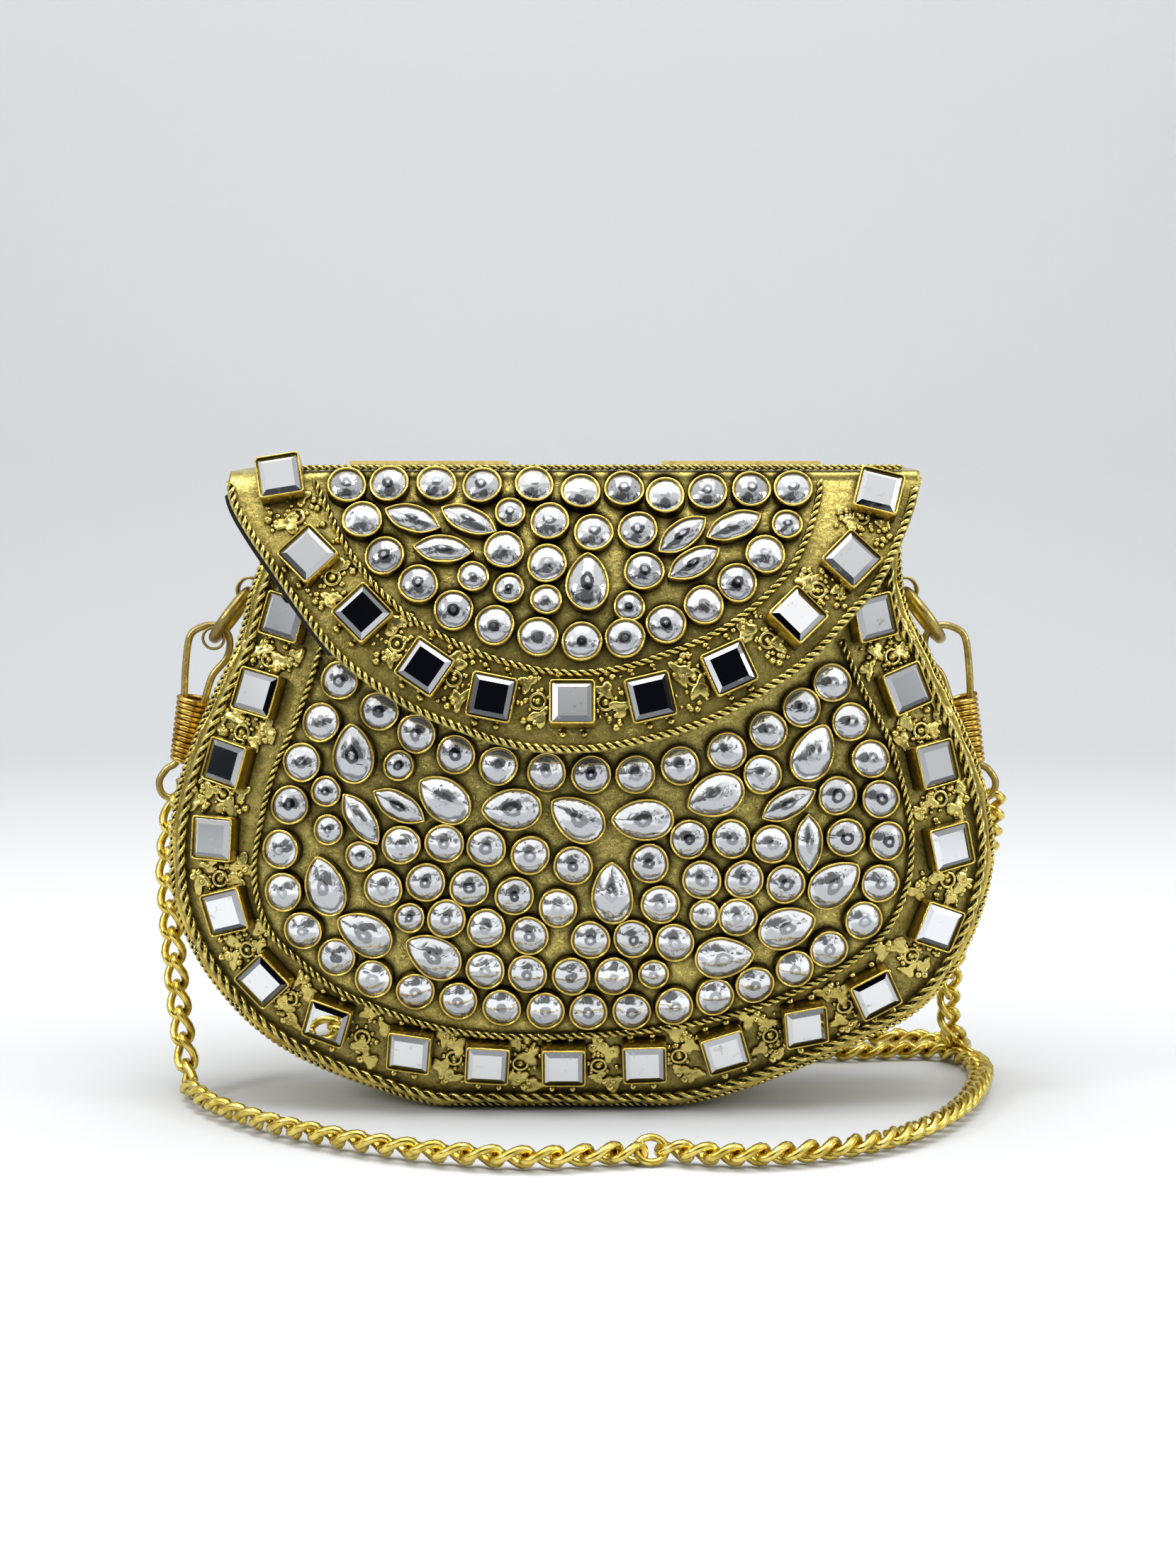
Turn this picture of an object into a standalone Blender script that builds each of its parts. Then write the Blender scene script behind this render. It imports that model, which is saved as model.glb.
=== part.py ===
"""Kundan clutch bag: a hinged brass bag in the outline of a pot, set with crystals and mirrors.

Lengths are in millimetres and become metres in MM. The front faces -Y, +X is to the right, +Z is
up, and the bag stands on the rope trims of its base at z = 0.
"""
import math

import bmesh
import bpy
import numpy as np
from mathutils import Vector

MM = 0.001
ORIGIN_SHIFT = (1.8, 5.7, 0.0)      # brings the middle of the bag without its chain over the origin

# Body
BODY_WIDTH = 188.4          # widest, over the side band
BODY_HEIGHT = 143.8         # from the underside of the band to the mouth
GUSSET_DEPTH = 31.0         # side band, front edge to back edge
BAND_SHEET = 1.0
PANEL_SHEET = 1.2
DOME_RISE = 14.0            # how far each panel swells beyond its rim
SEAT = 0.3                  # clearance between a piece and what carries it
LINING_THICKNESS = 1.0
LINING_GAP = 1.3            # the velvet stands this far off the sheets

# Outline of the side band as it was drawn: places across and above the underside
BAND_OUTLINE = [(-71.8, 143.8), (-72.4, 128.0), (-75.6, 118.4), (-78.8, 106.4), (-85.0, 93.8),
                (-90.2, 81.8), (-93.8, 70.0), (-95.0, 58.0), (-94.2, 47.0), (-90.6, 36.8),
                (-84.4, 27.0), (-76.0, 18.0), (-65.0, 10.8), (-50.0, 4.6), (-33.0, 0.0),
                (-8.0, 0.0), (18.0, 0.0), (32.0, 2.4), (46.0, 7.4), (62.0, 14.4), (75.6, 21.4),
                (84.4, 30.6), (90.4, 43.0), (93.4, 56.0), (92.8, 66.4), (89.0, 80.8),
                (81.4, 97.2), (77.6, 105.6), (73.4, 113.0), (71.2, 122.8), (70.4, 143.8)]
DRAWN_WIDTH = max(x for x, z in BAND_OUTLINE) - min(x for x, z in BAND_OUTLINE)
DRAWN_HEIGHT = max(z for x, z in BAND_OUTLINE)
DOME_CENTRE = (0.0, 59.8)
DOME_POWER = 3.0
DOME_SHARES = (1.0, 0.9, 0.77, 0.6, 0.38, 0.16)     # rings of the domed mesh, rim to middle
LINING_SHARES = (1.0, 0.8, 0.45)

# Flap
FLAP_SHEET = 1.0
FLAP_LINING = 1.2
FLAP_CLEARANCE = 0.5        # between the flap's lining and the mouth's edges
FLAP_FORWARD = 18.0         # how far the flap's face swells in front of its top edge
FLAP_FALL = 65.0            # height of the face that the swelling takes
FLAP_TOP_BEND = 2.2         # bend between roof and face
FLAP_LEFT_CURL = 4.5        # extra bend at the left corner, which is curled back
FLAP_CURL_START = 52.0      # the curl begins this far left of the middle
FLAP_CURL_RUN = 26.0        # and is full this much further on
FLAP_ROOF_RISE = 1.8        # the roof climbs this much on its way to the hinges
FLAP_RISE_SHARE = 0.6       # and has done so at this share of the way
FLAP_REAR_GAP = 1.2         # roof's rear edge to the hinge barrels
FLAP_EDGE = [(-81.6, 1.6), (-80.2, 8.0), (-75.8, 15.4), (-70.2, 23.2), (-64.4, 31.2),
             (-57.6, 40.0), (-49.8, 46.8), (-40.4, 52.8), (-29.6, 57.6), (-20.0, 60.9),
             (-11.6, 62.6), (-2.0, 62.9), (7.6, 62.0), (17.6, 59.8), (27.4, 56.7),
             (35.2, 52.8), (43.8, 47.7), (51.8, 41.7), (59.8, 33.2), (65.2, 27.4),
             (69.6, 20.2), (74.0, 10.4), (76.6, 1.8)]
FLAP_REAR_HALF = 71.0
LINING_INSET = 1.6          # flap lining's edge, in from the sheet's
LINING_PROUD = 0.9          # but past it at the curled corner, from these places on
CURLED_CORNER = (-56.0, 4.0)

# Hinges, magnets
HINGE_LENGTH = 38.0
HINGE_PLACE = 37.5          # middle of each hinge from the bag's middle
HINGE_LEAF = 8.0            # leaf's depth beside the barrel
HINGE_PLATE = 0.9
BARREL_RADIUS = 1.7
PIN_RADIUS = 0.75
HINGE_KNUCKLES = 3
MAGNET_RADIUS = 7.0
MAGNET_THICKNESS = 1.6
MAGNET_PLACE = (-2.0, 97.0)
MAGNET_EXTRA = 0.25         # past the lining, whose facets bulge inwards

# Rope trims: strand radius as one rod
ROPE_OUTER_RADIUS = 0.95
ROPE_EDGE_RADIUS = 1.2
ROPE_INNER_RADIUS = 0.9
ROPE_FLAP_RADIUS = 1.1
ROPE_TOP_RADIUS = 0.7
ROPE_TOP_BACK = 1.2         # top rope's middle, behind the top edge
ROPE_TOP_ENDS = (-64.0, 72.0)
ROPE_EDGE_INSET = 2.2       # rim rope's middle, in from the panel's rim
ROPE_END_HEIGHT = 138.0     # body ropes end here, under the flap
INNER_ROPE = [(-59.0, 110.5), (-61.9, 101.8), (-66.0, 91.0), (-70.7, 80.7), (-73.6, 70.0),
              (-75.4, 60.0), (-75.0, 52.0), (-71.8, 43.4), (-65.0, 37.0), (-57.4, 31.0),
              (-47.0, 26.4), (-34.5, 22.2), (-20.0, 20.2), (-4.0, 20.2), (12.8, 21.4),
              (26.8, 23.5), (39.5, 26.9), (51.5, 32.0), (61.8, 37.9), (69.6, 45.2),
              (73.6, 55.0), (74.4, 64.6), (73.0, 74.8), (68.6, 88.6), (62.4, 100.2),
              (58.0, 110.5)]
FLAP_INNER_ROPE = [(-61.4, 2.6), (-58.4, 8.4), (-54.8, 15.4), (-50.8, 21.4), (-45.4, 27.6),
                   (-38.9, 33.1), (-32.2, 36.9), (-24.0, 40.7), (-13.0, 44.0), (-2.0, 45.2),
                   (8.6, 44.0), (17.6, 41.2), (27.4, 37.3), (34.6, 33.0), (41.2, 27.6),
                   (46.8, 21.2), (50.6, 13.6), (52.8, 6.6), (53.4, 2.6)]

# Stones: rounds in two sizes, drops, marquises and square mirrors, each in its own cup
ROUND_ACROSS = 9.1
SMALL_ROUND_ACROSS = 7.2
ROUND_SIDES = 6
CUP_RISE = 2.7
CROWN_RISE = 0.8
CUP_FOOT = 0.6              # how deep a cup is let into the sheet
DROP_LENGTH = 14.2
DROP_WIDTH = 9.8
MARQUISE_LENGTH = 14.0
MARQUISE_WIDTH = 6.6
MIRROR_CUP = 10.2
MIRROR_CUP_RISE = 4.3
MIRROR_CUP_WALL = 0.5
MIRROR_RECESS = 1.5
MIRROR_THICKNESS = 1.4
MIRROR_CHAMFER = 1.3
MIRROR_CROWN = 0.5          # how far a flap mirror's flat stands over its cup
SEEN_RISE = 3.5             # height above the sheet at which the stones' places are given

# Body stones: across and above the ground, turn in degrees counter-clockwise
BODY_ROUNDS = [(-55.6, 101.9), (-59.9, 92.3), (-46.5, 95.0), (-37.9, 90.1), (-64.5, 83.1),
               (-29.1, 85.5), (-19.4, 82.7), (-8.6, 81.6), (1.4, 81.0), (11.4, 81.0),
               (21.5, 82.8), (32.0, 86.1), (41.3, 90.6), (49.2, 95.8), (56.2, 101.3),
               (60.6, 92.4), (40.1, 80.8), (65.2, 84.0), (57.4, 75.9), (67.4, 74.9),
               (-67.4, 73.4), (-69.4, 63.2), (-41.5, 64.8), (-31.7, 65.4), (-22.2, 64.4),
               (-12.4, 62.7), (-2.7, 60.3), (14.6, 60.8), (23.4, 66.2), (32.9, 66.2),
               (42.2, 64.9), (59.4, 66.2), (69.0, 65.2), (-69.0, 53.4), (-45.8, 54.9),
               (-36.0, 56.3), (-26.2, 55.2), (-16.0, 53.4), (-6.0, 50.6), (17.0, 51.3),
               (26.5, 57.0), (36.0, 57.0), (45.6, 55.7), (67.6, 55.4), (-31.4, 48.0),
               (-22.4, 45.7), (-12.6, 44.2), (1.4, 43.1), (10.9, 43.4), (20.4, 42.5),
               (34.7, 48.3), (-64.6, 44.5), (63.8, 46.7), (55.8, 40.4), (-22.8, 36.0),
               (-13.0, 35.0), (-3.1, 34.6), (6.6, 34.6), (-56.9, 38.3), (-48.4, 33.4),
               (-38.9, 30.7), (-28.9, 28.6), (-18.9, 27.0), (-9.0, 26.1), (0.8, 25.9),
               (10.6, 25.9), (20.4, 27.1), (29.7, 29.2), (38.8, 32.1), (47.9, 35.9)]
BODY_SMALL_ROUNDS = [(-42.1, 82.7), (-58.9, 76.7), (-58.3, 68.0), (-51.0, 61.9), (-39.8, 48.1),
                     (27.0, 48.8), (15.6, 35.1)]
BODY_DROPS = [(-52.4, 85.3, 95), (-59.2, 55.0, 105), (-50.2, 44.2, 152), (-34.6, 39.0, 152),
              (-31.8, 75.4, 143), (-16.7, 73.0, 180), (-1.9, 70.9, 144), (12.9, 70.6, 180),
              (29.2, 76.0, 202), (51.8, 85.5, 65), (57.0, 55.6, 39), (46.0, 45.6, 18),
              (31.7, 38.8, 6), (6.2, 53.9, 91)]
BODY_MARQUISES = [(-50.7, 70.7, 125), (-42.1, 73.6, 150), (46.0, 74.2, 27), (50.9, 65.0, 90)]
BODY_MIRRORS = [(-68.4, 115.9, -15), (-74.9, 98.7, -14), (-81.8, 82.6, -15), (-85.3, 65.3, -3),
                (-82.6, 48.4, 15), (-74.2, 32.3, 42), (-59.4, 22.7, -20), (-40.5, 15.9, -8),
                (-22.5, 13.1, -4), (-4.9, 12.5, 0), (13.7, 13.3, 2), (32.3, 16.0, 18),
                (50.9, 21.8, 10), (66.9, 29.2, 28), (81.4, 44.8, -20), (83.9, 63.4, 12),
                (79.9, 82.4, 12), (73.3, 99.6, 20), (65.7, 115.8, 12)]

# Flap stones: across and above the ground
FLAP_ROUNDS = [(-53.9, 146.0), (-44.2, 146.6), (-33.8, 146.6), (-23.1, 146.2), (-11.6, 146.4),
               (-1.0, 144.8), (8.8, 145.4), (18.2, 143.8), (27.8, 144.6), (37.4, 145.2),
               (47.0, 145.4), (-50.1, 138.2), (-7.8, 138.0), (1.8, 135.4), (11.9, 136.0),
               (-44.7, 130.3), (-18.2, 131.6), (-8.4, 128.6), (13.2, 126.8), (40.4, 130.6),
               (-37.2, 123.8), (34.0, 124.2), (-29.3, 118.2), (-20.0, 114.8), (-10.4, 112.3),
               (-0.6, 111.2), (9.0, 112.1), (18.2, 115.0), (26.6, 119.2)]
FLAP_SMALL_ROUNDS = [(-16.9, 140.0), (45.3, 137.2), (-24.9, 125.6), (-17.0, 122.9),
                     (-8.7, 120.3), (9.9, 118.9)]
FLAP_DROPS = [(0.6, 124.4, 90)]
FLAP_MARQUISES = [(-38.7, 138.6, -20), (-26.2, 138.3, -25), (-31.8, 131.8, -5), (21.8, 135.0, 37),
                  (33.6, 137.0, 23), (24.4, 128.6, 30)]
FLAP_MIRRORS = [(-69.1, 149.0, 10), (-61.9, 130.2, -45), (-49.8, 117.2, -45), (-35.4, 105.4, -34),
                (-20.6, 98.8, -11), (-2.8, 96.9, 0), (14.5, 98.8, 13), (31.9, 105.2, 24),
                (46.8, 116.2, -45), (59.6, 129.0, -45), (66.2, 144.2, -15)]

# Chain fittings, placed from each lug's middle: outwards and up
LUG_HEIGHT = 121.4          # above the ground
LUG_RADIUS = 3.2
LUG_WALL = 0.6
LUG_LENGTH = 4.4
LUG_SOLDER = 0.4            # fillet of solder between lug and band
RING_RADIUS = 6.8           # middle of the wire
RING_WIRE = 1.35
RING_LEAN = 37.0            # degrees from hanging straight down
CLIP_WIRE = 0.85
CLIP_LOOP = [(13.7, -32.0), (12.4, -29.0), (11.1, -25.6), (9.2, -20.2), (6.0, -16.4), (5.0, -12.8),
             (5.8, -9.9), (8.8, -8.3), (12.4, -9.1), (14.6, -11.4), (15.6, -18.0), (16.1, -25.4),
             (16.8, -33.0), (18.0, -40.4), (20.6, -42.6), (22.4, -45.6), (21.6, -48.6),
             (19.2, -49.4), (17.5, -47.4), (17.6, -45.0)]
SLEEVE_TOP = (13.7, -25.4)
SLEEVE_END = (17.3, -40.6)
SLEEVE_TOP_RADIUS = 4.15
SLEEVE_END_RADIUS = 2.6
SLEEVE_WALL = 0.5
TIE_RADIUS = 2.5            # little loose circle of thin wire on the left ring
TIE_WIRE = 0.35
TIE_ASIDE = 2.2             # in front of the clip's wire

# Chain: width and thickness of the links as they lie, and the pitch of one link
CHAIN_WIDTH = 5.0
CHAIN_THICKNESS = 2.2
CHAIN_WAIST = 0.56          # width between two links, as a share of the full width
CHAIN_PITCH = 6.8
CHAIN_INNER = 20.0          # within this distance of the middle it lies the same on every size
CHAIN_BLEND = 60.0          # and from there to this much further on it goes over to the bag's width
CHAIN_LOW = 8.0             # below this height too
DRAWN_HOOKS = {-1.0: (-79.237, 121.4), 1.0: (75.559, 121.4)}    # the clips' zeros as drawn
JOINING_LINK_LENGTH = 12.6
JOINING_LINK_WIDTH = 7.4
JOINING_LINK_WIRE = 0.75
CHAIN_LEFT_ROUTE = [(-98.4, 0.0, 70.6), (-99.0, 0.0, 64.0), (-99.9, 0.0, 56.0), (-99.6, 0.0, 47.0),
                    (-99.0, -0.2, 37.0), (-98.2, -0.4, 27.0), (-97.2, -0.8, 17.0),
                    (-96.0, -2.0, 8.4), (-94.2, -6.4, 2.6), (-91.0, -14.6, 1.5),
                    (-86.0, -23.6, 1.5), (-78.0, -34.0, 1.5), (-68.6, -43.6, 1.5),
                    (-58.6, -51.6, 1.5), (-47.8, -58.8, 1.5), (-37.6, -64.2, 1.5),
                    (-27.0, -68.2, 1.5), (-15.8, -70.8, 1.5), (-5.0, -70.6, 1.5),
                    (4.5, -68.0, 1.5)]
JOINING_LINK_PLACE = (11.4, -66.2, 1.3, 12.0)
CHAIN_RIGHT_ROUTE = [(18.4, -65.2, 1.5), (27.0, -68.4, 1.5), (37.0, -69.0, 1.5),
                     (50.0, -65.4, 1.5), (62.0, -58.8, 1.5), (72.4, -49.4, 1.5),
                     (81.4, -36.4, 1.5), (88.8, -21.0, 1.5), (94.4, -4.0, 1.5),
                     (97.8, 13.0, 1.5), (97.4, 27.0, 1.5), (91.0, 36.8, 1.5),
                     (80.0, 37.6, 1.5), (66.0, 35.6, 1.5), (40.0, 36.0, 1.5), (0.0, 36.6, 1.5),
                     (-40.0, 36.0, 1.5), (-56.0, 37.6, 1.5), (-64.0, 47.0, 1.5),
                     (-56.0, 57.2, 1.5), (-20.0, 58.6, 1.5), (20.0, 58.6, 1.5),
                     (46.0, 58.0, 2.2), (56.6, 51.4, 4.6), (55.6, 41.6, 4.8),
                     (44.0, 36.2, 4.7), (0.0, 36.6, 4.7), (-38.0, 36.4, 4.6),
                     (-50.6, 42.0, 3.0), (-50.6, 51.4, 3.2), (-38.0, 57.6, 4.6),
                     (0.0, 58.6, 4.7), (40.0, 58.6, 5.0), (60.0, 57.0, 4.4), (76.0, 54.0, 1.7),
                     (88.0, 50.6, 1.6), (95.6, 42.6, 2.6), (95.8, 35.0, 4.8), (93.2, 30.4, 8.6),
                     (91.8, 27.6, 16.0), (92.2, 25.6, 26.0), (93.6, 23.4, 36.0),
                     (95.6, 20.0, 46.6), (98.2, 14.0, 57.0), (98.2, 6.0, 66.0),
                     (97.8, 1.0, 72.2)]

BRASS = (0.36, 0.28, 0.09)
BRIGHT_BRASS = (0.56, 0.36, 0.06)
CHAIN_GOLD = (0.70, 0.48, 0.09)
MIRROR_GLASS = (0.62, 0.64, 0.66)
STEEL = (0.45, 0.45, 0.46)
VELVET = (0.006, 0.006, 0.007)

PALETTE = {"brass": (BRASS, 0.38, 1.0), "bright_brass": (BRIGHT_BRASS, 0.28, 1.0),
           "chain_gold": (CHAIN_GOLD, 0.22, 1.0), "mirror_glass": (MIRROR_GLASS, 0.06, 0.0),
           "steel": (STEEL, 0.35, 1.0), "velvet": (VELVET, 0.95, 0.0)}

STRETCH = np.array([BODY_WIDTH / DRAWN_WIDTH, BODY_HEIGHT / DRAWN_HEIGHT])
GROUND_TO_BAND = 2.0 * ROPE_OUTER_RADIUS + SEAT
MOUTH_HEIGHT = GROUND_TO_BAND + BODY_HEIGHT
RIM_Y = -(GUSSET_DEPTH / 2 + SEAT + PANEL_SHEET)
FLAP_WALL = FLAP_SHEET + SEAT + FLAP_LINING
FLAP_TOP = MOUTH_HEIGHT + FLAP_CLEARANCE + FLAP_WALL
FLAP_FRONT_Y = RIM_Y - FLAP_CLEARANCE - FLAP_WALL
HINGE_Y = -RIM_Y + SEAT + BARREL_RADIUS
HINGE_Z = FLAP_TOP + FLAP_ROOF_RISE + SEAT + HINGE_PLATE - BARREL_RADIUS


# Stones and their cups are made smaller with a smaller bag, so that they stay clear of each other
FIT = min(1.0, float(STRETCH[0]), float(STRETCH[1]))


def stretched(x, z):
    """Where a place drawn on the bag comes to lie when the body's width or height is changed."""
    return x * STRETCH[0], GROUND_TO_BAND + (z - GROUND_TO_BAND) * STRETCH[1]


def smooth_curve(points, steps, closed=False):
    """Catmull-Rom curve through the points, `steps` places to each stretch."""
    p = np.array(points, float)
    if closed:
        p = np.vstack([p[-1], p, p[:2]])
    else:
        p = np.vstack([2 * p[0] - p[1], p, 2 * p[-1] - p[-2]])
    t = np.linspace(0, 1, steps, endpoint=False)[:, None]
    parts = [0.5 * (2 * b + (c - a) * t + (2 * a - 5 * b + 4 * c - d) * t**2
                    + (3 * b - a - 3 * c + d) * t**3)
             for a, b, c, d in zip(p[:-3], p[1:-2], p[2:-1], p[3:])]
    if not closed:
        parts.append(p[-2][None])
    return np.vstack(parts)


def even_points(curve, count):
    """The same curve with `count` points at even distances along it."""
    steps = np.linalg.norm(np.diff(curve, axis=0), axis=1)
    along = np.concatenate([[0.0], np.cumsum(steps)])
    wanted = np.linspace(0.0, along[-1], count)
    return np.stack([np.interp(wanted, along, curve[:, k]) for k in range(curve.shape[1])], 1)


def band_line(count):
    """Outer face of the side band, from the mouth's left end round the base to its right end."""
    curve = smooth_curve(BAND_OUTLINE, 8)
    curve[:, 1] = np.maximum(curve[:, 1], 0.0)
    line = even_points(curve * STRETCH, count)
    line[:, 1] += GROUND_TO_BAND
    return line


def outline_normals(line):
    """Unit normals of an outline in the XZ plane, pointing away from the bag's middle."""
    along = np.gradient(line, axis=0)
    along /= np.linalg.norm(along, axis=1)[:, None]
    return np.stack([along[:, 1], -along[:, 0]], 1)


FINE_LINE = band_line(400)
CENTRE = np.array(stretched(DOME_CENTRE[0], DOME_CENTRE[1] + GROUND_TO_BAND))
_RAYS = FINE_LINE - CENTRE
_BEARING = np.unwrap(np.arctan2(_RAYS[:, 1], _RAYS[:, 0]))


def rim_share(x, z):
    """How far out a place lies between the dome's centre (0) and the rim (1)."""
    dx, dz = x - CENTRE[0], z - CENTRE[1]
    bearing = np.arctan2(dz, dx)
    low = _BEARING[0]
    turned = low + np.mod(bearing - low, 2 * math.pi)
    reach = np.interp(turned, _BEARING, np.hypot(_RAYS[:, 0], _RAYS[:, 1]))
    flat_top = (MOUTH_HEIGHT - CENTRE[1]) / np.maximum(np.sin(bearing), 1e-6)
    over_mouth = turned > _BEARING[-1]
    reach = np.where(over_mouth, flat_top, reach)
    return np.hypot(dx, dz) / reach


def dome_y(x, z):
    """Outer face of the front panel: the rim plane less DOME_RISE x (1 - share ** DOME_POWER)."""
    share = np.clip(rim_share(x, z), 0.0, 1.0)
    return RIM_Y - DOME_RISE * (1.0 - share**DOME_POWER)


def dome_point(x, z):
    return np.array([x, float(dome_y(x, z)), z])


def flap_bend(x):
    """Size of the bend at the flap's top edge; the left corner is curled back further."""
    curl = np.clip((-x / STRETCH[0] - FLAP_CURL_START) / FLAP_CURL_RUN, 0.0, 1.0)
    return FLAP_TOP_BEND + FLAP_LEFT_CURL * curl * curl


def flap_face_y(x, z):
    """The flap's face: it swells forward as it falls, less towards its sides."""
    fall = np.clip((FLAP_TOP - FLAP_TOP_BEND - z) / (FLAP_FALL * STRETCH[1]), 0.0, 1.0)
    side = np.abs(x) / (0.5 * BODY_WIDTH)
    swell = FLAP_FORWARD * (1.0 - (1.0 - fall)**2.2) * (1.0 - 0.52 * side**2.5)
    return FLAP_FRONT_Y - swell


def flap_point(x, drop):
    """A place on the flap's outer face: across, and down from the top edge.

    Past the bend the sheet falls as flap_face_y says. Within the bend it follows a parabola,
    and behind it, where drop is negative, it is the level roof.
    """
    bend = flap_bend(x)
    y_top = flap_face_y(x, FLAP_TOP)
    if drop >= bend:
        z = FLAP_TOP - drop
        return np.array([x, float(flap_face_y(x, z)), z])
    if drop <= -bend:
        return np.array([x, float(y_top) - drop, FLAP_TOP])
    t = (bend - drop) / (2.0 * bend)
    foot = np.array([float(flap_face_y(x, FLAP_TOP - bend)), FLAP_TOP - bend])
    corner = np.array([float(y_top), FLAP_TOP])
    roof = corner + np.array([bend, 0.0])
    y, z = (1 - t)**2 * foot + 2 * t * (1 - t) * corner + t * t * roof
    return np.array([x, y, z])


def drop_at(x, z):
    """How far down the sheet a height on the flap's front lies."""
    bend = flap_bend(x)
    below = FLAP_TOP - z
    if below >= bend:
        return below
    return 2.0 * math.sqrt(max(bend * below, 0.0)) - bend


def flap_seen(x, z):
    return flap_point(x, drop_at(x, z))


def surface_frame(surface, x, z):
    """Foot, outward normal and the two directions (across, up) of a sheet at a place."""
    step = 0.4
    foot = surface(x, z)
    across = surface(x + step, z) - surface(x - step, z)
    up = surface(x, z + step) - surface(x, z - step)
    normal = np.cross(across, up)
    normal /= np.linalg.norm(normal)
    across /= np.linalg.norm(across)
    return foot, normal, across, np.cross(normal, across)


def seat_of(surface, x, z):
    """Frame under a stone whose crown is seen at (x, z): the foot is stepped back from it."""
    foot_x, foot_z = x, z
    for _ in range(3):
        _, normal, _, _ = surface_frame(surface, foot_x, foot_z)
        foot_x, foot_z = x - normal[0] * SEEN_RISE, z - normal[2] * SEEN_RISE
    return surface_frame(surface, foot_x, foot_z)


def clear_scene():
    for item in list(bpy.data.objects):
        bpy.data.objects.remove(item, do_unlink=True)


def new_collection(name):
    collection = bpy.data.collections.new(name)
    bpy.context.scene.collection.children.link(collection)
    return collection


def add_material(item, finish):
    colour, roughness, metallic = PALETTE[finish]
    material = bpy.data.materials.new(item.name + "_" + finish)
    material.use_nodes = True
    shader = material.node_tree.nodes["Principled BSDF"]
    shader.inputs["Base Color"].default_value = (*colour, 1.0)
    shader.inputs["Roughness"].default_value = roughness
    shader.inputs["Metallic"].default_value = metallic
    item.data.materials.append(material)


def add_mesh(name, points, faces, finish, collection):
    """A mesh object from places in millimetres, with its faces turned outwards."""
    mesh = bpy.data.meshes.new(name)
    mesh.from_pydata([tuple(float(v) * MM for v in p) for p in points], [], faces)
    work = bmesh.new()
    work.from_mesh(mesh)
    bmesh.ops.remove_doubles(work, verts=work.verts, dist=1e-6)
    bmesh.ops.recalc_face_normals(work, faces=work.faces)
    work.to_mesh(mesh)
    work.free()
    item = bpy.data.objects.new(name, mesh)
    collection.objects.link(item)
    add_material(item, finish)
    return item


def add_tube(name, points, radius, finish, collection, resolution=1, cyclic=False):
    """A wire or rod: a poly curve with a round bevel and filled caps."""
    curve = bpy.data.curves.new(name, "CURVE")
    curve.dimensions = "3D"
    curve.bevel_depth = radius * MM
    curve.bevel_resolution = resolution
    curve.use_fill_caps = True
    spline = curve.splines.new("POLY")
    spline.points.add(len(points) - 1)
    for point, place in zip(spline.points, points):
        point.co = (*(float(v) * MM for v in place), 1.0)
    spline.use_cyclic_u = cyclic
    item = bpy.data.objects.new(name, curve)
    collection.objects.link(item)
    add_material(item, finish)
    return item


def add_solidify(item, thickness, offset=-1.0):
    solid = item.modifiers.new("sheet", "SOLIDIFY")
    solid.thickness = thickness * MM
    solid.offset = offset
    solid.use_even_offset = True
    return solid


def add_boolean(item, other, operation, overlapping=False):
    cut = item.modifiers.new(operation.lower() + "_" + other.name, "BOOLEAN")
    cut.operation = operation
    cut.object = other
    cut.use_self = overlapping
    other.hide_render = True
    other.display_type = "WIRE"


def grid_faces(rows, columns, wrap=False):
    faces = []
    for r in range(rows - 1):
        for c in range(columns if wrap else columns - 1):
            d = (c + 1) % columns
            faces.append((r * columns + c, r * columns + d, (r + 1) * columns + d,
                          (r + 1) * columns + c))
    return faces


def panel_rim(count, mouth_count):
    """Rim of a panel: the band's outline closed by the straight edge of the mouth."""
    line = band_line(count)
    mouth = line[-1] + (line[0] - line[-1]) * np.linspace(0, 1, mouth_count + 2)[1:-1, None]
    return np.vstack([line, mouth])


def dome_rings(rim, shares, lift, shrink):
    """Rings of a dome from its rim to near its centre, `lift` below its outer face."""
    rings = []
    for share in shares:
        for place in rim:
            away = place - CENTRE
            reach = 1.0 - shrink / np.linalg.norm(away)
            x, z = CENTRE + away * share * reach
            y = RIM_Y + lift - DOME_RISE * (1.0 - (share * reach)**DOME_POWER)
            rings.append((x, y, z))
    return rings


def dome_sheet(rim, shares=DOME_SHARES, lift=0.0, shrink=0.0, mirrored=False):
    points = dome_rings(rim, shares, lift, shrink)
    points.append((CENTRE[0], RIM_Y + lift - DOME_RISE, CENTRE[1]))
    count = len(rim)
    faces = grid_faces(len(shares), count, wrap=True)
    last = (len(shares) - 1) * count
    faces += [(last + k, last + (k + 1) % count, len(points) - 1) for k in range(count)]
    if mirrored:
        points = [(x, -y, z) for x, y, z in points]
        faces = [face[::-1] for face in faces]
    return points, faces


def add_dome_panel(name, mirrored, collection):
    """A domed sheet: its outer face is the dome, and Solidify gives it its wall inwards."""
    points, faces = dome_sheet(panel_rim(34, 6), mirrored=mirrored)
    panel = add_mesh(name, points, faces, "brass", collection)
    outwards = 1.0 if mirrored else -1.0
    panel.data.update()
    if panel.data.polygons[len(faces) - 1].normal.y * outwards < 0:
        panel.data.flip_normals()
    add_solidify(panel, PANEL_SHEET)
    return panel


def round_outline(across, sides=ROUND_SIDES):
    turn = np.arange(sides) * 2 * math.pi / sides
    return np.stack([np.cos(turn), np.sin(turn)], 1) * across / 2


def drop_outline():
    """A drop with its tip at +X: x = cos t, y = sin t x sin(t / 2)."""
    t = np.radians([0.0, 50.0, 95.0, 140.0, 180.0, 220.0, 265.0, 310.0])
    return np.stack([DROP_LENGTH / 2 * np.cos(t),
                     DROP_WIDTH / 1.54 * np.sin(t) * np.abs(np.sin(t / 2))], 1)


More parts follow.
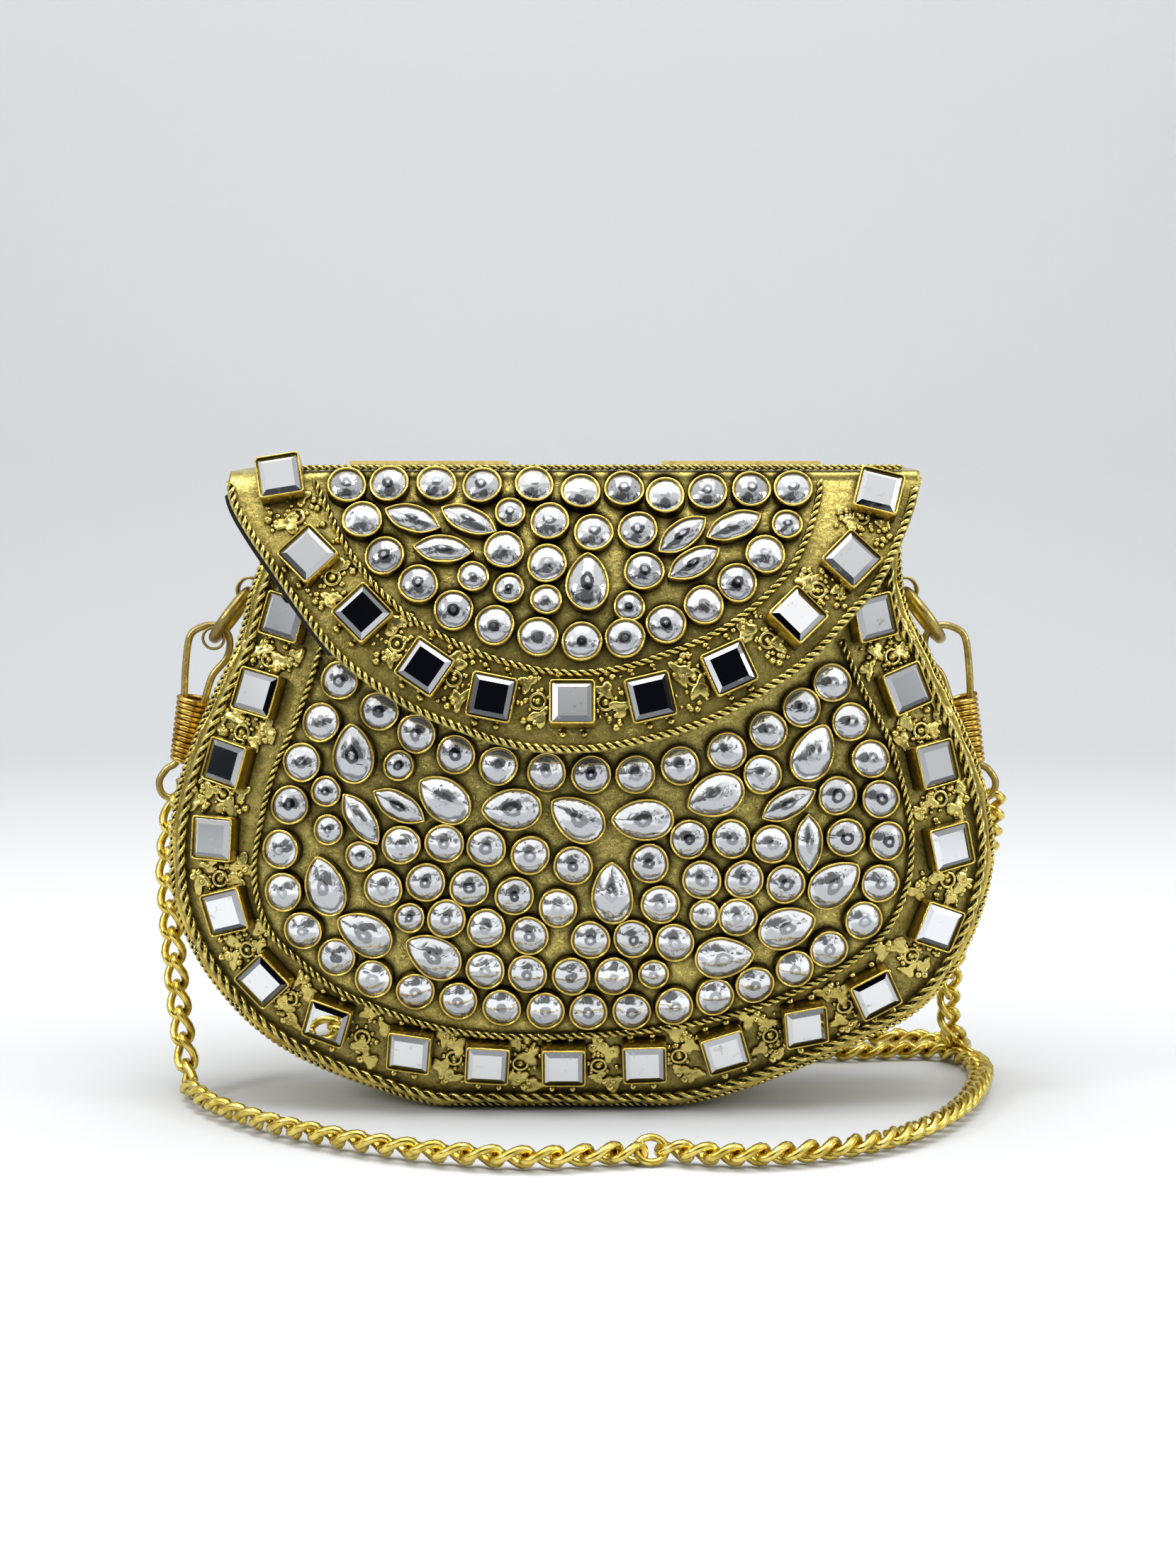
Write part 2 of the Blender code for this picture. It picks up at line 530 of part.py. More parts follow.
def marquise_outline():
    """A boat shape: two parabolas between its tips."""
    x = np.array([1.0, 0.5, 0.0, -0.5, -1.0, -0.5, 0.0, 0.5])
    side = np.array([1, 1, 1, 1, 1, -1, -1, -1])
    return np.stack([MARQUISE_LENGTH / 2 * x, side * MARQUISE_WIDTH / 2 * (1 - x * x)], 1)


def square_outline(across):
    return np.array([(1, -1), (1, 1), (-1, 1), (-1, -1)]) * across / 2


def raised(frame, outline, turn, heights, shares, close_apex):
    """A stack of one outline at several heights and sizes on a seat, closed at both ends."""
    foot, normal, across, up = frame
    c, s = math.cos(math.radians(turn)), math.sin(math.radians(turn))
    spun = outline @ np.array([[c, s], [-s, c]])
    points = []
    for height, share in zip(heights, shares):
        for u, v in spun * share:
            points.append(foot + across * u + up * v + normal * height)
    count = len(outline)
    faces = grid_faces(len(heights), count, wrap=True)
    faces.append(tuple(range(count - 1, -1, -1)))
    last = (len(heights) - 1) * count
    if close_apex is None:
        faces.append(tuple(range(last, last + count)))
    else:
        points.append(foot + normal * close_apex)
        faces += [(last + k, last + (k + 1) % count, len(points) - 1) for k in range(count)]
    return points, faces


def merge_shapes(shapes):
    points, faces = [], []
    for more_points, more_faces in shapes:
        start = len(points)
        points += list(more_points)
        faces += [tuple(start + k for k in face) for face in more_faces]
    return points, faces


def set_stone(surface, place, outline):
    turn = place[2] if len(place) > 2 else 0.0
    frame = seat_of(surface, *stretched(place[0], place[1]))
    heights, shares = (-CUP_FOOT, CUP_RISE), (1.0, 1.0)
    return raised(frame, outline * FIT, turn, heights, shares, CUP_RISE + CROWN_RISE)


def stone_cups(surface, rounds, small_rounds, drops, marquises):
    kinds = [(rounds, round_outline(ROUND_ACROSS)), (small_rounds, round_outline(SMALL_ROUND_ACROSS)),
             (drops, drop_outline()), (marquises, marquise_outline())]
    return [set_stone(surface, place, outline) for places, outline in kinds for place in places]


def mirror_cup(surface, place):
    """Square cup with its recess: outside up, over the wall, down to the recess's floor."""
    cup = MIRROR_CUP * FIT
    inside = (cup - 2 * MIRROR_CUP_WALL) / cup
    frame = seat_of(surface, *stretched(place[0], place[1]))
    heights = (-CUP_FOOT, MIRROR_CUP_RISE, MIRROR_CUP_RISE, MIRROR_CUP_RISE - MIRROR_RECESS)
    return raised(frame, square_outline(cup), place[2], heights, (1.0, 1.0, inside, inside), None)


def mirror_glass(surface, place):
    """Square mirror with a chamfered edge, seated in its cup."""
    across = MIRROR_CUP * FIT - 2 * MIRROR_CUP_WALL - 2 * SEAT
    low = MIRROR_CUP_RISE - MIRROR_RECESS + SEAT
    top = (across - 2 * MIRROR_CHAMFER) / across
    heights = (low, low + 0.4 * MIRROR_THICKNESS, low + MIRROR_THICKNESS)
    frame = seat_of(surface, *stretched(place[0], place[1]))
    return raised(frame, square_outline(across), place[2], heights, (1.0, 1.0, top), None)


def mirror_block(surface, place):
    """A flap mirror in one with its cup, its top chamfered like the glass."""
    cup = MIRROR_CUP * FIT
    glass_top = (cup - 2 * MIRROR_CHAMFER) / cup
    frame = seat_of(surface, *stretched(place[0], place[1]))
    heights = (-CUP_FOOT, MIRROR_CUP_RISE, MIRROR_CUP_RISE + MIRROR_CROWN)
    return raised(frame, square_outline(cup), place[2], heights, (1.0, 1.0, glass_top), None)


def make_body(parts, cutters):
    front = add_dome_panel("front_panel", False, parts)
    cups = stone_cups(dome_point, BODY_ROUNDS, BODY_SMALL_ROUNDS, BODY_DROPS, BODY_MARQUISES)
    cups += [mirror_cup(dome_point, place) for place in BODY_MIRRORS]
    points, faces = merge_shapes(cups)
    body_cups = add_mesh("body_cups", points, faces, "bright_brass", cutters)
    add_boolean(front, body_cups, "UNION", overlapping=True)
    add_dome_panel("back_panel", True, parts)
    for number, place in enumerate(BODY_MIRRORS, 1):
        points, faces = mirror_glass(dome_point, place)
        add_mesh("mirror_%02d" % number, points, faces, "mirror_glass", parts)

    line = band_line(46)
    half = GUSSET_DEPTH / 2
    points = [(x, y, z) for y in (-half, half) for x, z in line]
    band = add_mesh("gusset_band", points, grid_faces(2, len(line)), "brass", parts)
    if band.data.polygons[0].normal.x > 0:
        band.data.flip_normals()
    add_solidify(band, BAND_SHEET)
    make_lining(parts)


def make_lining(parts):
    """Velvet inside the body: both domes and the band between them, open at the mouth."""
    lift = PANEL_SHEET + LINING_GAP
    shrink = BAND_SHEET + LINING_GAP
    line = band_line(34)
    rim = panel_rim(34, 4)
    front_points, front_faces = dome_sheet(rim, LINING_SHARES, lift, shrink)
    back_points, back_faces = dome_sheet(rim, LINING_SHARES, lift, shrink, mirrored=True)
    points = front_points + back_points
    faces = list(front_faces) + [tuple(len(front_points) + k for k in f) for f in back_faces]
    for k in range(len(line) - 1):
        faces.append((k, k + 1, len(front_points) + k + 1, len(front_points) + k))
    lining = add_mesh("body_lining", points, faces, "velvet", parts)
    centre_front = lining.data.polygons[len(front_faces) - 1]
    if centre_front.normal.y > 0:
        lining.data.flip_normals()
    add_solidify(lining, LINING_THICKNESS)


def flap_grid(columns, inset, left_proud=0.0):
    """Flap's outer face as a grid: lower edge, face, bend, then the roof back to the hinges."""
    edge = even_points(smooth_curve(FLAP_EDGE, 6), columns)
    normals = outline_normals(edge * [1, -1]) * [1, -1]
    corner = (edge[:, 0] < CURLED_CORNER[0]) & (edge[:, 1] > CURLED_CORNER[1])
    proud = np.where(corner, inset + left_proud, 0.0)
    edge = (edge - normals * (inset - proud)[:, None]) * STRETCH
    edge[:, 1] = np.maximum(edge[:, 1], 1.0)
    across = np.linspace(0.0, 1.0, columns)
    top_x = edge[0, 0] + 0.6 + (edge[-1, 0] - edge[0, 0] - 1.2) * across
    rear_half = (FLAP_REAR_HALF - inset) * STRETCH[0]
    rear_x = -rear_half + 2 * rear_half * across
    rear_y = HINGE_Y - BARREL_RADIUS - FLAP_REAR_GAP - inset
    points = []
    for k in range(6):
        share = k / 5.0
        for c in range(columns):
            x = edge[c, 0] + (top_x[c] - edge[c, 0]) * share
            low = edge[c, 1]
            high = min(flap_bend(x), 0.75 * low)
            points.append(flap_point(x, low + (high - low) * share))
    for part in (0.3, -0.35, -1.0):
        for c in range(columns):
            x = top_x[c]
            bend = flap_bend(x)
            start = min(bend, 0.75 * edge[c, 1])
            points.append(flap_point(x, part * (start if part > 0 else bend)))
    for share in (FLAP_RISE_SHARE, 1.0):
        for c in range(columns):
            x = top_x[c] + (rear_x[c] - top_x[c]) * share
            front = flap_point(top_x[c], -flap_bend(top_x[c]))
            y = front[1] + (rear_y - front[1]) * share
            points.append((x, y, FLAP_TOP + FLAP_ROOF_RISE))
    return points, len(points) // columns


def offset_grid(points, rows, distance):
    """A grid moved along its own normals, towards the inside of the flap."""
    grid = np.array([list(p) for p in points]).reshape(rows, -1, 3)
    along = np.gradient(grid, axis=1)
    down = np.gradient(grid, axis=0)
    normal = np.cross(along, down)
    normal /= np.linalg.norm(normal, axis=2)[:, :, None]
    return (grid - normal * distance).reshape(-1, 3)


def make_flap(parts, cutters):
    columns = 27
    points, rows = flap_grid(columns, 0.0)
    plate = add_mesh("flap_plate", points, grid_faces(rows, columns), "brass", parts)
    middle = plate.data.polygons[columns // 2]
    if middle.normal.y > 0:
        plate.data.flip_normals()
    add_solidify(plate, FLAP_SHEET)
    cups = stone_cups(flap_seen, FLAP_ROUNDS, FLAP_SMALL_ROUNDS, FLAP_DROPS, FLAP_MARQUISES)
    cups += [mirror_block(flap_seen, place) for place in FLAP_MIRRORS]
    cup_points, faces = merge_shapes(cups)
    flap_cups = add_mesh("flap_cups", cup_points, faces, "bright_brass", cutters)
    add_boolean(plate, flap_cups, "UNION", overlapping=True)

    columns = 17
    points, rows = flap_grid(columns, LINING_INSET, LINING_PROUD)
    inner = offset_grid(points, rows, FLAP_SHEET + SEAT)
    lining = add_mesh("flap_lining", inner, grid_faces(rows, columns), "velvet", parts)
    if lining.data.polygons[columns // 2].normal.y > 0:
        lining.data.flip_normals()
    add_solidify(lining, FLAP_LINING)


def rope_on(surface, places, radius, count):
    """Middle of a rope that lies on a sheet along the given places."""
    path = []
    for x, z in even_points(smooth_curve(places, 8), count):
        foot, normal, _, _ = surface_frame(surface, x, z)
        path.append(foot + normal * (radius + SEAT))
    return path


def make_ropes(parts):
    line = band_line(120)
    keep = line[:, 1] < stretched(0.0, ROPE_END_HEIGHT)[1]
    normals = outline_normals(line)
    outer = even_points((line + normals * (ROPE_OUTER_RADIUS + SEAT))[keep], 52)
    outer[:, 1] = np.maximum(outer[:, 1], ROPE_OUTER_RADIUS)
    rim = (line - normals * ROPE_EDGE_INSET)[keep]
    for side, sign in (("front", 1.0), ("back", -1.0)):
        y = -sign * (GUSSET_DEPTH / 2 - ROPE_OUTER_RADIUS - SEAT)
        path = [(x, y, z) for x, z in outer]
        add_tube("rope_%s_outer" % side, path, ROPE_OUTER_RADIUS, "brass", parts)
        edge = rope_on(dome_point, rim[::3], ROPE_EDGE_RADIUS, 36)
        path = [(x, sign * y, z) for x, y, z in edge]
        add_tube("rope_%s_edge" % side, path, ROPE_EDGE_RADIUS, "brass", parts)
    inner = [stretched(x, z) for x, z in INNER_ROPE]
    add_tube("rope_front_inner", rope_on(dome_point, inner, ROPE_INNER_RADIUS, 32),
             ROPE_INNER_RADIUS, "brass", parts)

    edge = smooth_curve(FLAP_EDGE, 6)
    normals = outline_normals(edge * [1, -1]) * [1, -1]
    edge = (edge - normals * ROPE_FLAP_RADIUS)[2:-2]
    for name, places, radius, count in (
            ("rope_flap_edge", edge, ROPE_FLAP_RADIUS, 32),
            ("rope_flap_inner", smooth_curve(FLAP_INNER_ROPE, 4), ROPE_INNER_RADIUS, 24)):
        path = []
        for x, drop in even_points(places, count) * STRETCH:
            foot, normal, _, _ = surface_frame(lambda a, b: flap_point(a, FLAP_TOP - b), x,
                                               FLAP_TOP - drop)
            path.append(foot + normal * (radius + SEAT))
        add_tube(name, path, radius, "brass", parts)
    top = []
    for x in np.linspace(*ROPE_TOP_ENDS, 12) * STRETCH[0]:
        foot = flap_point(x, -ROPE_TOP_BACK)
        top.append(foot + np.array([0.0, -0.3, 1.0]) * (ROPE_TOP_RADIUS + SEAT))
    add_tube("rope_flap_top", top, ROPE_TOP_RADIUS, "brass", parts)


def turned_ring(name, outer, inner, length, place, finish, parts, sides=20):
    """A short tube along Y: the Screw modifier turns a rectangle about its axis."""
    half = length / 2
    mesh = bpy.data.meshes.new(name)
    profile = [(outer, 0, half), (outer, 0, -half), (inner, 0, -half), (inner, 0, half)]
    mesh.from_pydata([tuple(v * MM for v in p) for p in profile], [(0, 1), (1, 2), (2, 3), (3, 0)],
                     [])
    item = bpy.data.objects.new(name, mesh)
    parts.objects.link(item)
    screw = item.modifiers.new("turn", "SCREW")
    screw.steps = sides
    screw.render_steps = sides
    screw.use_merge_vertices = True
    screw.merge_threshold = 1e-5
    item.location = Vector(place) * MM
    item.rotation_euler = (math.radians(90), 0, 0)
    add_material(item, finish)
    return item


def add_cylinder(name, radius, length, place, turn, finish, parts, sides=20):
    bpy.ops.mesh.primitive_cylinder_add(vertices=sides, radius=radius * MM, depth=length * MM)
    item = bpy.context.object
    item.name = name
    for collection in list(item.users_collection):
        collection.objects.unlink(item)
    parts.objects.link(item)
    item.rotation_euler = turn
    item.location = Vector(place) * MM
    add_material(item, finish)
    return item


def lug_middle(side):
    """Middle of a lug: it lies against the band at LUG_HEIGHT."""
    own = FINE_LINE[FINE_LINE[:, 0] * side > 0]
    own = own[np.argsort(own[:, 1])]
    height = stretched(0.0, LUG_HEIGHT)[1]
    x = float(np.interp(height, own[:, 1], own[:, 0]))
    return np.array([x + side * (LUG_RADIUS + SEAT + LUG_SOLDER), 0.0, height])


def hanging(side):
    """A lug's middle, the way its ring hangs, and where the clip's own zero lies.

    A bag of another size may have a belly that pushes the clip out. Its ring then leans further.
    """
    lug = lug_middle(side)
    own = FINE_LINE[FINE_LINE[:, 0] * side > 0]
    own = own[np.argsort(own[:, 1])]
    push = 0.0
    for share in np.linspace(0.0, 1.0, 9):
        u = SLEEVE_TOP[0] + (SLEEVE_END[0] - SLEEVE_TOP[0]) * share
        v = SLEEVE_TOP[1] + (SLEEVE_END[1] - SLEEVE_TOP[1]) * share
        radius = SLEEVE_TOP_RADIUS + (SLEEVE_END_RADIUS - SLEEVE_TOP_RADIUS) * share
        belly = side * np.interp(lug[2] + v, own[:, 1], own[:, 0])
        push = max(push, belly + SEAT - (side * lug[0] + u - radius))
    drawn = math.radians(RING_LEAN)
    lean = math.asin(min(math.sin(drawn) + push / (2 * RING_RADIUS), 1.0))
    down = np.array([side * math.sin(lean), 0.0, -math.cos(lean)])
    moved = 2 * RING_RADIUS * (down - np.array([side * math.sin(drawn), 0.0, -math.cos(drawn)]))
    return lug, down, lug + moved


def make_fittings(parts):
    for name, side in (("left", -1.0), ("right", 1.0)):
        lug, down, hook = hanging(side)
        turned_ring("lug_" + name, LUG_RADIUS, LUG_RADIUS - LUG_WALL, LUG_LENGTH, lug, "brass",
                    parts)
        sag = RING_RADIUS - math.sqrt(RING_RADIUS**2 - (LUG_LENGTH / 2)**2)
        hang = LUG_RADIUS - LUG_WALL - RING_WIRE - SEAT - sag
        middle = lug + down * (hang + RING_RADIUS)
        turn = np.linspace(0.0, 2 * math.pi, 22, endpoint=False)
        path = [middle + RING_RADIUS * (math.cos(a) * down + math.sin(a) * np.array([0, 1.0, 0]))
                for a in turn]
        add_tube("ring_" + name, path, RING_WIRE, "brass", parts, cyclic=True)
        loop = smooth_curve(CLIP_LOOP, 2)
        path = [hook + np.array([side * u, 0.0, v]) for u, v in loop]
        add_tube("clip_" + name, path, CLIP_WIRE, "brass", parts)
        make_sleeve(name, side, hook, parts)
        if side < 0:
            reach = math.sqrt(RING_RADIUS**2 - TIE_ASIDE**2)
            low = middle + down * (reach + TIE_RADIUS - RING_WIRE - TIE_WIRE - 1.5 * SEAT)
            low[1] = -TIE_ASIDE
            path = [low + TIE_RADIUS * (math.cos(a) * down + math.sin(a) * np.cross(down, (0, 1, 0)))
                    for a in turn[::2]]
            add_tube("wire_tie_left", path, TIE_WIRE, "brass", parts, resolution=0, cyclic=True)


def make_sleeve(name, side, hook, parts):
    """The coil that closes the clip, as one tapering tube: its two rims are lofted."""
    top = hook + np.array([side * SLEEVE_TOP[0], 0.0, SLEEVE_TOP[1]])
    end = hook + np.array([side * SLEEVE_END[0], 0.0, SLEEVE_END[1]])
    axis = (end - top) / np.linalg.norm(end - top)
    sidewards = np.cross(axis, (0.0, 1.0, 0.0))
    turn = np.linspace(0.0, 2 * math.pi, 16, endpoint=False)
    points = []
    rings = ((top, SLEEVE_TOP_RADIUS), (end, SLEEVE_END_RADIUS),
             (end, SLEEVE_END_RADIUS - SLEEVE_WALL), (top, SLEEVE_TOP_RADIUS - SLEEVE_WALL))
    for middle, radius in rings:
        for a in turn:
            points.append(middle + radius * (math.cos(a) * sidewards + math.sin(a)
                                             * np.array([0.0, 1.0, 0.0])))
    faces = grid_faces(4, 16, wrap=True)
    faces += [(48 + k, 48 + (k + 1) % 16, (k + 1) % 16, k) for k in range(16)]
    add_mesh("clip_sleeve_" + name, points, faces, "bright_brass", parts)


def make_hinges(parts, cutters):
    """Two butt hinges: the flap's leaf lies on the roof and the body's on the back panel."""
    knuckle = HINGE_LENGTH / HINGE_KNUCKLES
    for name, side in (("left", -1.0), ("right", 1.0)):
        middle = side * HINGE_PLACE * STRETCH[0]
        flap_parts, body_parts = [], []
        for k in range(HINGE_KNUCKLES):
            start = middle - HINGE_LENGTH / 2 + k * knuckle + (SEAT / 2 if k else 0.0)
            end = middle - HINGE_LENGTH / 2 + (k + 1) * knuckle
            end -= SEAT / 2 if k < HINGE_KNUCKLES - 1 else 0.0
            owner = body_parts if k % 2 == 0 else flap_parts
            owner.append((start, end))
        add_leaf("hinge_flap_leaf_" + name, middle, flap_parts, True, parts, cutters)
        add_leaf("hinge_body_leaf_" + name, middle, body_parts, False, parts, cutters)
        add_cylinder("hinge_pin_" + name, PIN_RADIUS, HINGE_LENGTH + 1.0,
                     (middle, HINGE_Y, HINGE_Z), (0, math.radians(90), 0), "steel", parts, 10)


def add_leaf(name, middle, spans, on_roof, parts, cutters):
    """A hinge leaf: its plate's outline swept across, with the barrel's knuckles in one with it."""
    half = HINGE_LENGTH / 2
    barrel_front = HINGE_Y - BARREL_RADIUS
    if on_roof:
        top = HINGE_Z + BARREL_RADIUS
        low = top - HINGE_PLATE
        front = HINGE_Y - HINGE_LEAF
        plate = [(front, low), (front, top), (barrel_front - SEAT, top), (barrel_front - SEAT, low)]
        tongue = [(front, low), (front, top), (HINGE_Y, top), (HINGE_Y, low)]
    else:
        foot = MOUTH_HEIGHT - HINGE_LEAF
        head = HINGE_Z - BARREL_RADIUS - SEAT
        y_foot = SEAT - float(dome_y(middle, foot))
        y_head = SEAT - float(dome_y(middle, MOUTH_HEIGHT))
        plate = [(y_head, head - 0.4), (y_head + HINGE_PLATE, head - 0.4),
                 (y_foot + HINGE_PLATE, foot), (y_foot, foot)]
        tongue = [(HINGE_Y, HINGE_Z), (y_head + HINGE_PLATE, head - 0.5), (y_head, head - 0.5),
                  (barrel_front, HINGE_Z)]
    points, faces = swept(plate, middle - half, middle + half)
    leaf = add_mesh(name, points, faces, "brass", parts)
    knuckles = []
    for start, end in spans:
        knuckles += [swept(tongue, start, end), barrel(start, end, BARREL_RADIUS)]
    points, faces = merge_shapes(knuckles)
    more = add_mesh(name + "_knuckles", points, faces, "brass", cutters)
    add_boolean(leaf, more, "UNION", overlapping=True)
    points, faces = barrel(middle - half - 1.0, middle + half + 1.0, PIN_RADIUS + SEAT)
    hole = add_mesh(name + "_bore", points, faces, "brass", cutters)
    add_boolean(leaf, hole, "DIFFERENCE")


def swept(outline, start, end):
    """An outline in the YZ plane carried along X."""
    count = len(outline)
    points = [(x, y, z) for x in (start, end) for y, z in outline]
    faces = grid_faces(2, count, wrap=True)
    faces += [tuple(range(count - 1, -1, -1)), tuple(range(count, 2 * count))]
    return points, faces


def barrel(start, end, radius, sides=12):
    turn = (np.arange(sides) + 0.5) * 2 * math.pi / sides
    outline = [(HINGE_Y + radius * math.cos(a), HINGE_Z + radius * math.sin(a)) for a in turn]
    return swept(outline, start, end)


def make_magnets(parts):
    """A pair of magnets, one on the panel under the flap and one in the flap's lining."""
    x, z = stretched(*MAGNET_PLACE)
    foot, normal, _, _ = surface_frame(dome_point, x, z)
    up = Vector(normal).to_track_quat("Z", "Y").to_euler()
    reach = SEAT + MAGNET_THICKNESS / 2
    add_cylinder("magnet_body", MAGNET_RADIUS, MAGNET_THICKNESS, foot + normal * reach, up, "steel",
                 parts)
    foot, normal, _, _ = surface_frame(flap_seen, x, z)
    down = Vector(normal).to_track_quat("Z", "Y").to_euler()
    place = foot - normal * (FLAP_WALL + reach + MAGNET_EXTRA)
    add_cylinder("magnet_flap", MAGNET_RADIUS, MAGNET_THICKNESS, place, down, "steel", parts)


def hung(route, side):
    """A chain's route on a bag of another size: its top follows the clip's eye, its sides the bag."""
    places = np.array(route)
    outer = np.clip((np.abs(places[:, 0]) - CHAIN_INNER) / CHAIN_BLEND, 0.0, 1.0)
    places[:, 0] *= 1.0 + (STRETCH[0] - 1.0) * outer
    top = places[np.argmax(places[:, 2])]
    hook = hanging(side)[2]
    high = np.clip((places[:, 2] - CHAIN_LOW) / (top[2] - CHAIN_LOW), 0.0, 1.0)
    drawn_x, drawn_z = DRAWN_HOOKS[side]
    places[:, 0] += (hook[0] - drawn_x - (STRETCH[0] - 1.0) * top[0] / STRETCH[0]) * high**2
    places[:, 2] += (hook[2] - drawn_z) * high
    return places


def chain_strand(name, route, side, parts):
    """A chain as one strand: it swells to a link's width and narrows between links.

    The flat of the links faces the viewer where the chain hangs and lies on the ground elsewhere:
    its normal turns from -Y to +Z as the run turns from upright to level.
    """
    curve = smooth_curve(hung(route, side), 12)
    length = float(np.linalg.norm(np.diff(curve, axis=0), axis=1).sum())
    links = int(round(length / CHAIN_PITCH))
    path = even_points(curve, 2 * links + 1)
    along = np.gradient(path, axis=0)
    along /= np.linalg.norm(along, axis=1)[:, None]
    upright = np.abs(along[:, 2])[:, None]
    facing = np.array([0.0, 0.0, 1.0]) * (1 - upright) + np.array([0.0, -1.0, 0.0]) * upright
    broad = np.cross(along, facing)
    for k in range(1, len(broad)):
        if np.dot(broad[k], broad[k - 1]) < 0:
            broad[k] = -broad[k]
    broad /= np.linalg.norm(broad, axis=1)[:, None]
    thick = np.cross(broad, along)
    points = []
    for k, place in enumerate(path):
        width = CHAIN_WIDTH / 2 * (1.0 if k % 2 else CHAIN_WAIST)
        height = CHAIN_THICKNESS / 2
        points += [place + broad[k] * width, place + thick[k] * height,
                   place - broad[k] * width, place - thick[k] * height]
    faces = grid_faces(len(path), 4, wrap=True)
    last = 4 * (len(path) - 1)
    faces += [(3, 2, 1, 0), (last, last + 1, last + 2, last + 3)]
    add_mesh(name, points, faces, "chain_gold", parts)


def make_chain(parts):
    chain_strand("chain_left", CHAIN_LEFT_ROUTE, -1.0, parts)
    chain_strand("chain_right", CHAIN_RIGHT_ROUTE, 1.0, parts)
    x, y, z, turn = JOINING_LINK_PLACE
    straight = JOINING_LINK_LENGTH / 2 - JOINING_LINK_WIDTH / 2
    radius = JOINING_LINK_WIDTH / 2 - JOINING_LINK_WIRE
    path = []
    for a in np.linspace(0.0, 2 * math.pi, 20, endpoint=False):
        u = radius * math.cos(a) + math.copysign(straight, math.cos(a))
        path.append((u, radius * math.sin(a)))
    c, s = math.cos(math.radians(turn)), math.sin(math.radians(turn))
    path = [(x + c * u - s * v, y + s * u + c * v, z) for u, v in path]
    add_tube("chain_joining_link", path, JOINING_LINK_WIRE, "chain_gold", parts, cyclic=True)


def main():
    clear_scene()
    parts = new_collection("kundan_clutch_bag")
    cutters = new_collection("cutters")
    make_body(parts, cutters)
    make_flap(parts, cutters)
    make_ropes(parts)
    make_hinges(parts, cutters)
    make_magnets(parts)
    make_fittings(parts)
    make_chain(parts)
    for item in list(parts.objects) + list(cutters.objects):
        item.location += Vector(ORIGIN_SHIFT) * MM
    bpy.context.view_layer.update()


main()
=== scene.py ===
"""Looks of the kundan clutch bag, laid out as a Blender add-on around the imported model.

Drawn sizes and places are in millimetres, on the bag as it was drawn; add_piece shifts them
over the origin and makes them metres. The front faces -Y, +X is to the right and +Z is up.
"""
import math

import bpy
import numpy as np
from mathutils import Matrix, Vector


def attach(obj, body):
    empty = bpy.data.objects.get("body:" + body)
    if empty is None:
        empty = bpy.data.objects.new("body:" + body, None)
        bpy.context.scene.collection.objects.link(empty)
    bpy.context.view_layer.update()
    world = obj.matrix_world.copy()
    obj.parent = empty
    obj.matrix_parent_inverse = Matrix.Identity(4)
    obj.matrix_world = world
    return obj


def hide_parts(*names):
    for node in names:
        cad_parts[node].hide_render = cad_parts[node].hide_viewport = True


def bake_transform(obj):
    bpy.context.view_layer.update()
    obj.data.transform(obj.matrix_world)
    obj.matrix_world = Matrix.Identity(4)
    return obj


bl_info = {
    "name": "Kundan clutch bag",
    "version": (1, 0, 0),
    "blender": (4, 5, 0),
    "location": "View3D > Sidebar > Bag",
    "description": "Builds the visible pieces of a jewelled metal clutch bag around its frame",
    "category": "Object",
}

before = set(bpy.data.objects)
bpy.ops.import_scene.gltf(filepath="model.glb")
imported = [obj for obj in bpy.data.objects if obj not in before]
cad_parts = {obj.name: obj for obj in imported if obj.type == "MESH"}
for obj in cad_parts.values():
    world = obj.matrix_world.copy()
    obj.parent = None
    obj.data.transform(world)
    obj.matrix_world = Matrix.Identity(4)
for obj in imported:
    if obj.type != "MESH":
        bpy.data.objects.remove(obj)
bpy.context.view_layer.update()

MM = 0.001
SHIFT = np.array([1.8, 5.7, 0.0])

BODY_WIDTH = 188.4
BODY_HEIGHT = 143.8
GUSSET_DEPTH = 31.0
BAND_SHEET = 1.0
PANEL_SHEET = 1.2
DOME_RISE = 14.0
SEAT = 0.3
LINING_THICKNESS = 1.0
LINING_GAP = 1.3
BAND_OUTLINE = [(-71.8, 143.8), (-72.4, 128.0), (-75.6, 118.4), (-78.8, 106.4), (-85.0, 93.8),
                (-90.2, 81.8), (-93.8, 70.0), (-95.0, 58.0), (-94.2, 47.0), (-90.6, 36.8),
                (-84.4, 27.0), (-76.0, 18.0), (-65.0, 10.8), (-50.0, 4.6), (-33.0, 0.0),
                (-8.0, 0.0), (18.0, 0.0), (32.0, 2.4), (46.0, 7.4), (62.0, 14.4), (75.6, 21.4),
                (84.4, 30.6), (90.4, 43.0), (93.4, 56.0), (92.8, 66.4), (89.0, 80.8),
                (81.4, 97.2), (77.6, 105.6), (73.4, 113.0), (71.2, 122.8), (70.4, 143.8)]
DOME_CENTRE = (0.0, 59.8)
DOME_POWER = 3.0
FLAP_SHEET = 1.0
FLAP_LINING = 1.2
FLAP_CLEARANCE = 0.5
FLAP_FORWARD = 18.0
FLAP_FALL = 65.0
FLAP_TOP_BEND = 2.2
FLAP_LEFT_CURL = 4.5
FLAP_ROOF_RISE = 1.8
FLAP_RISE_SHARE = 0.6
FLAP_REAR_GAP = 1.2
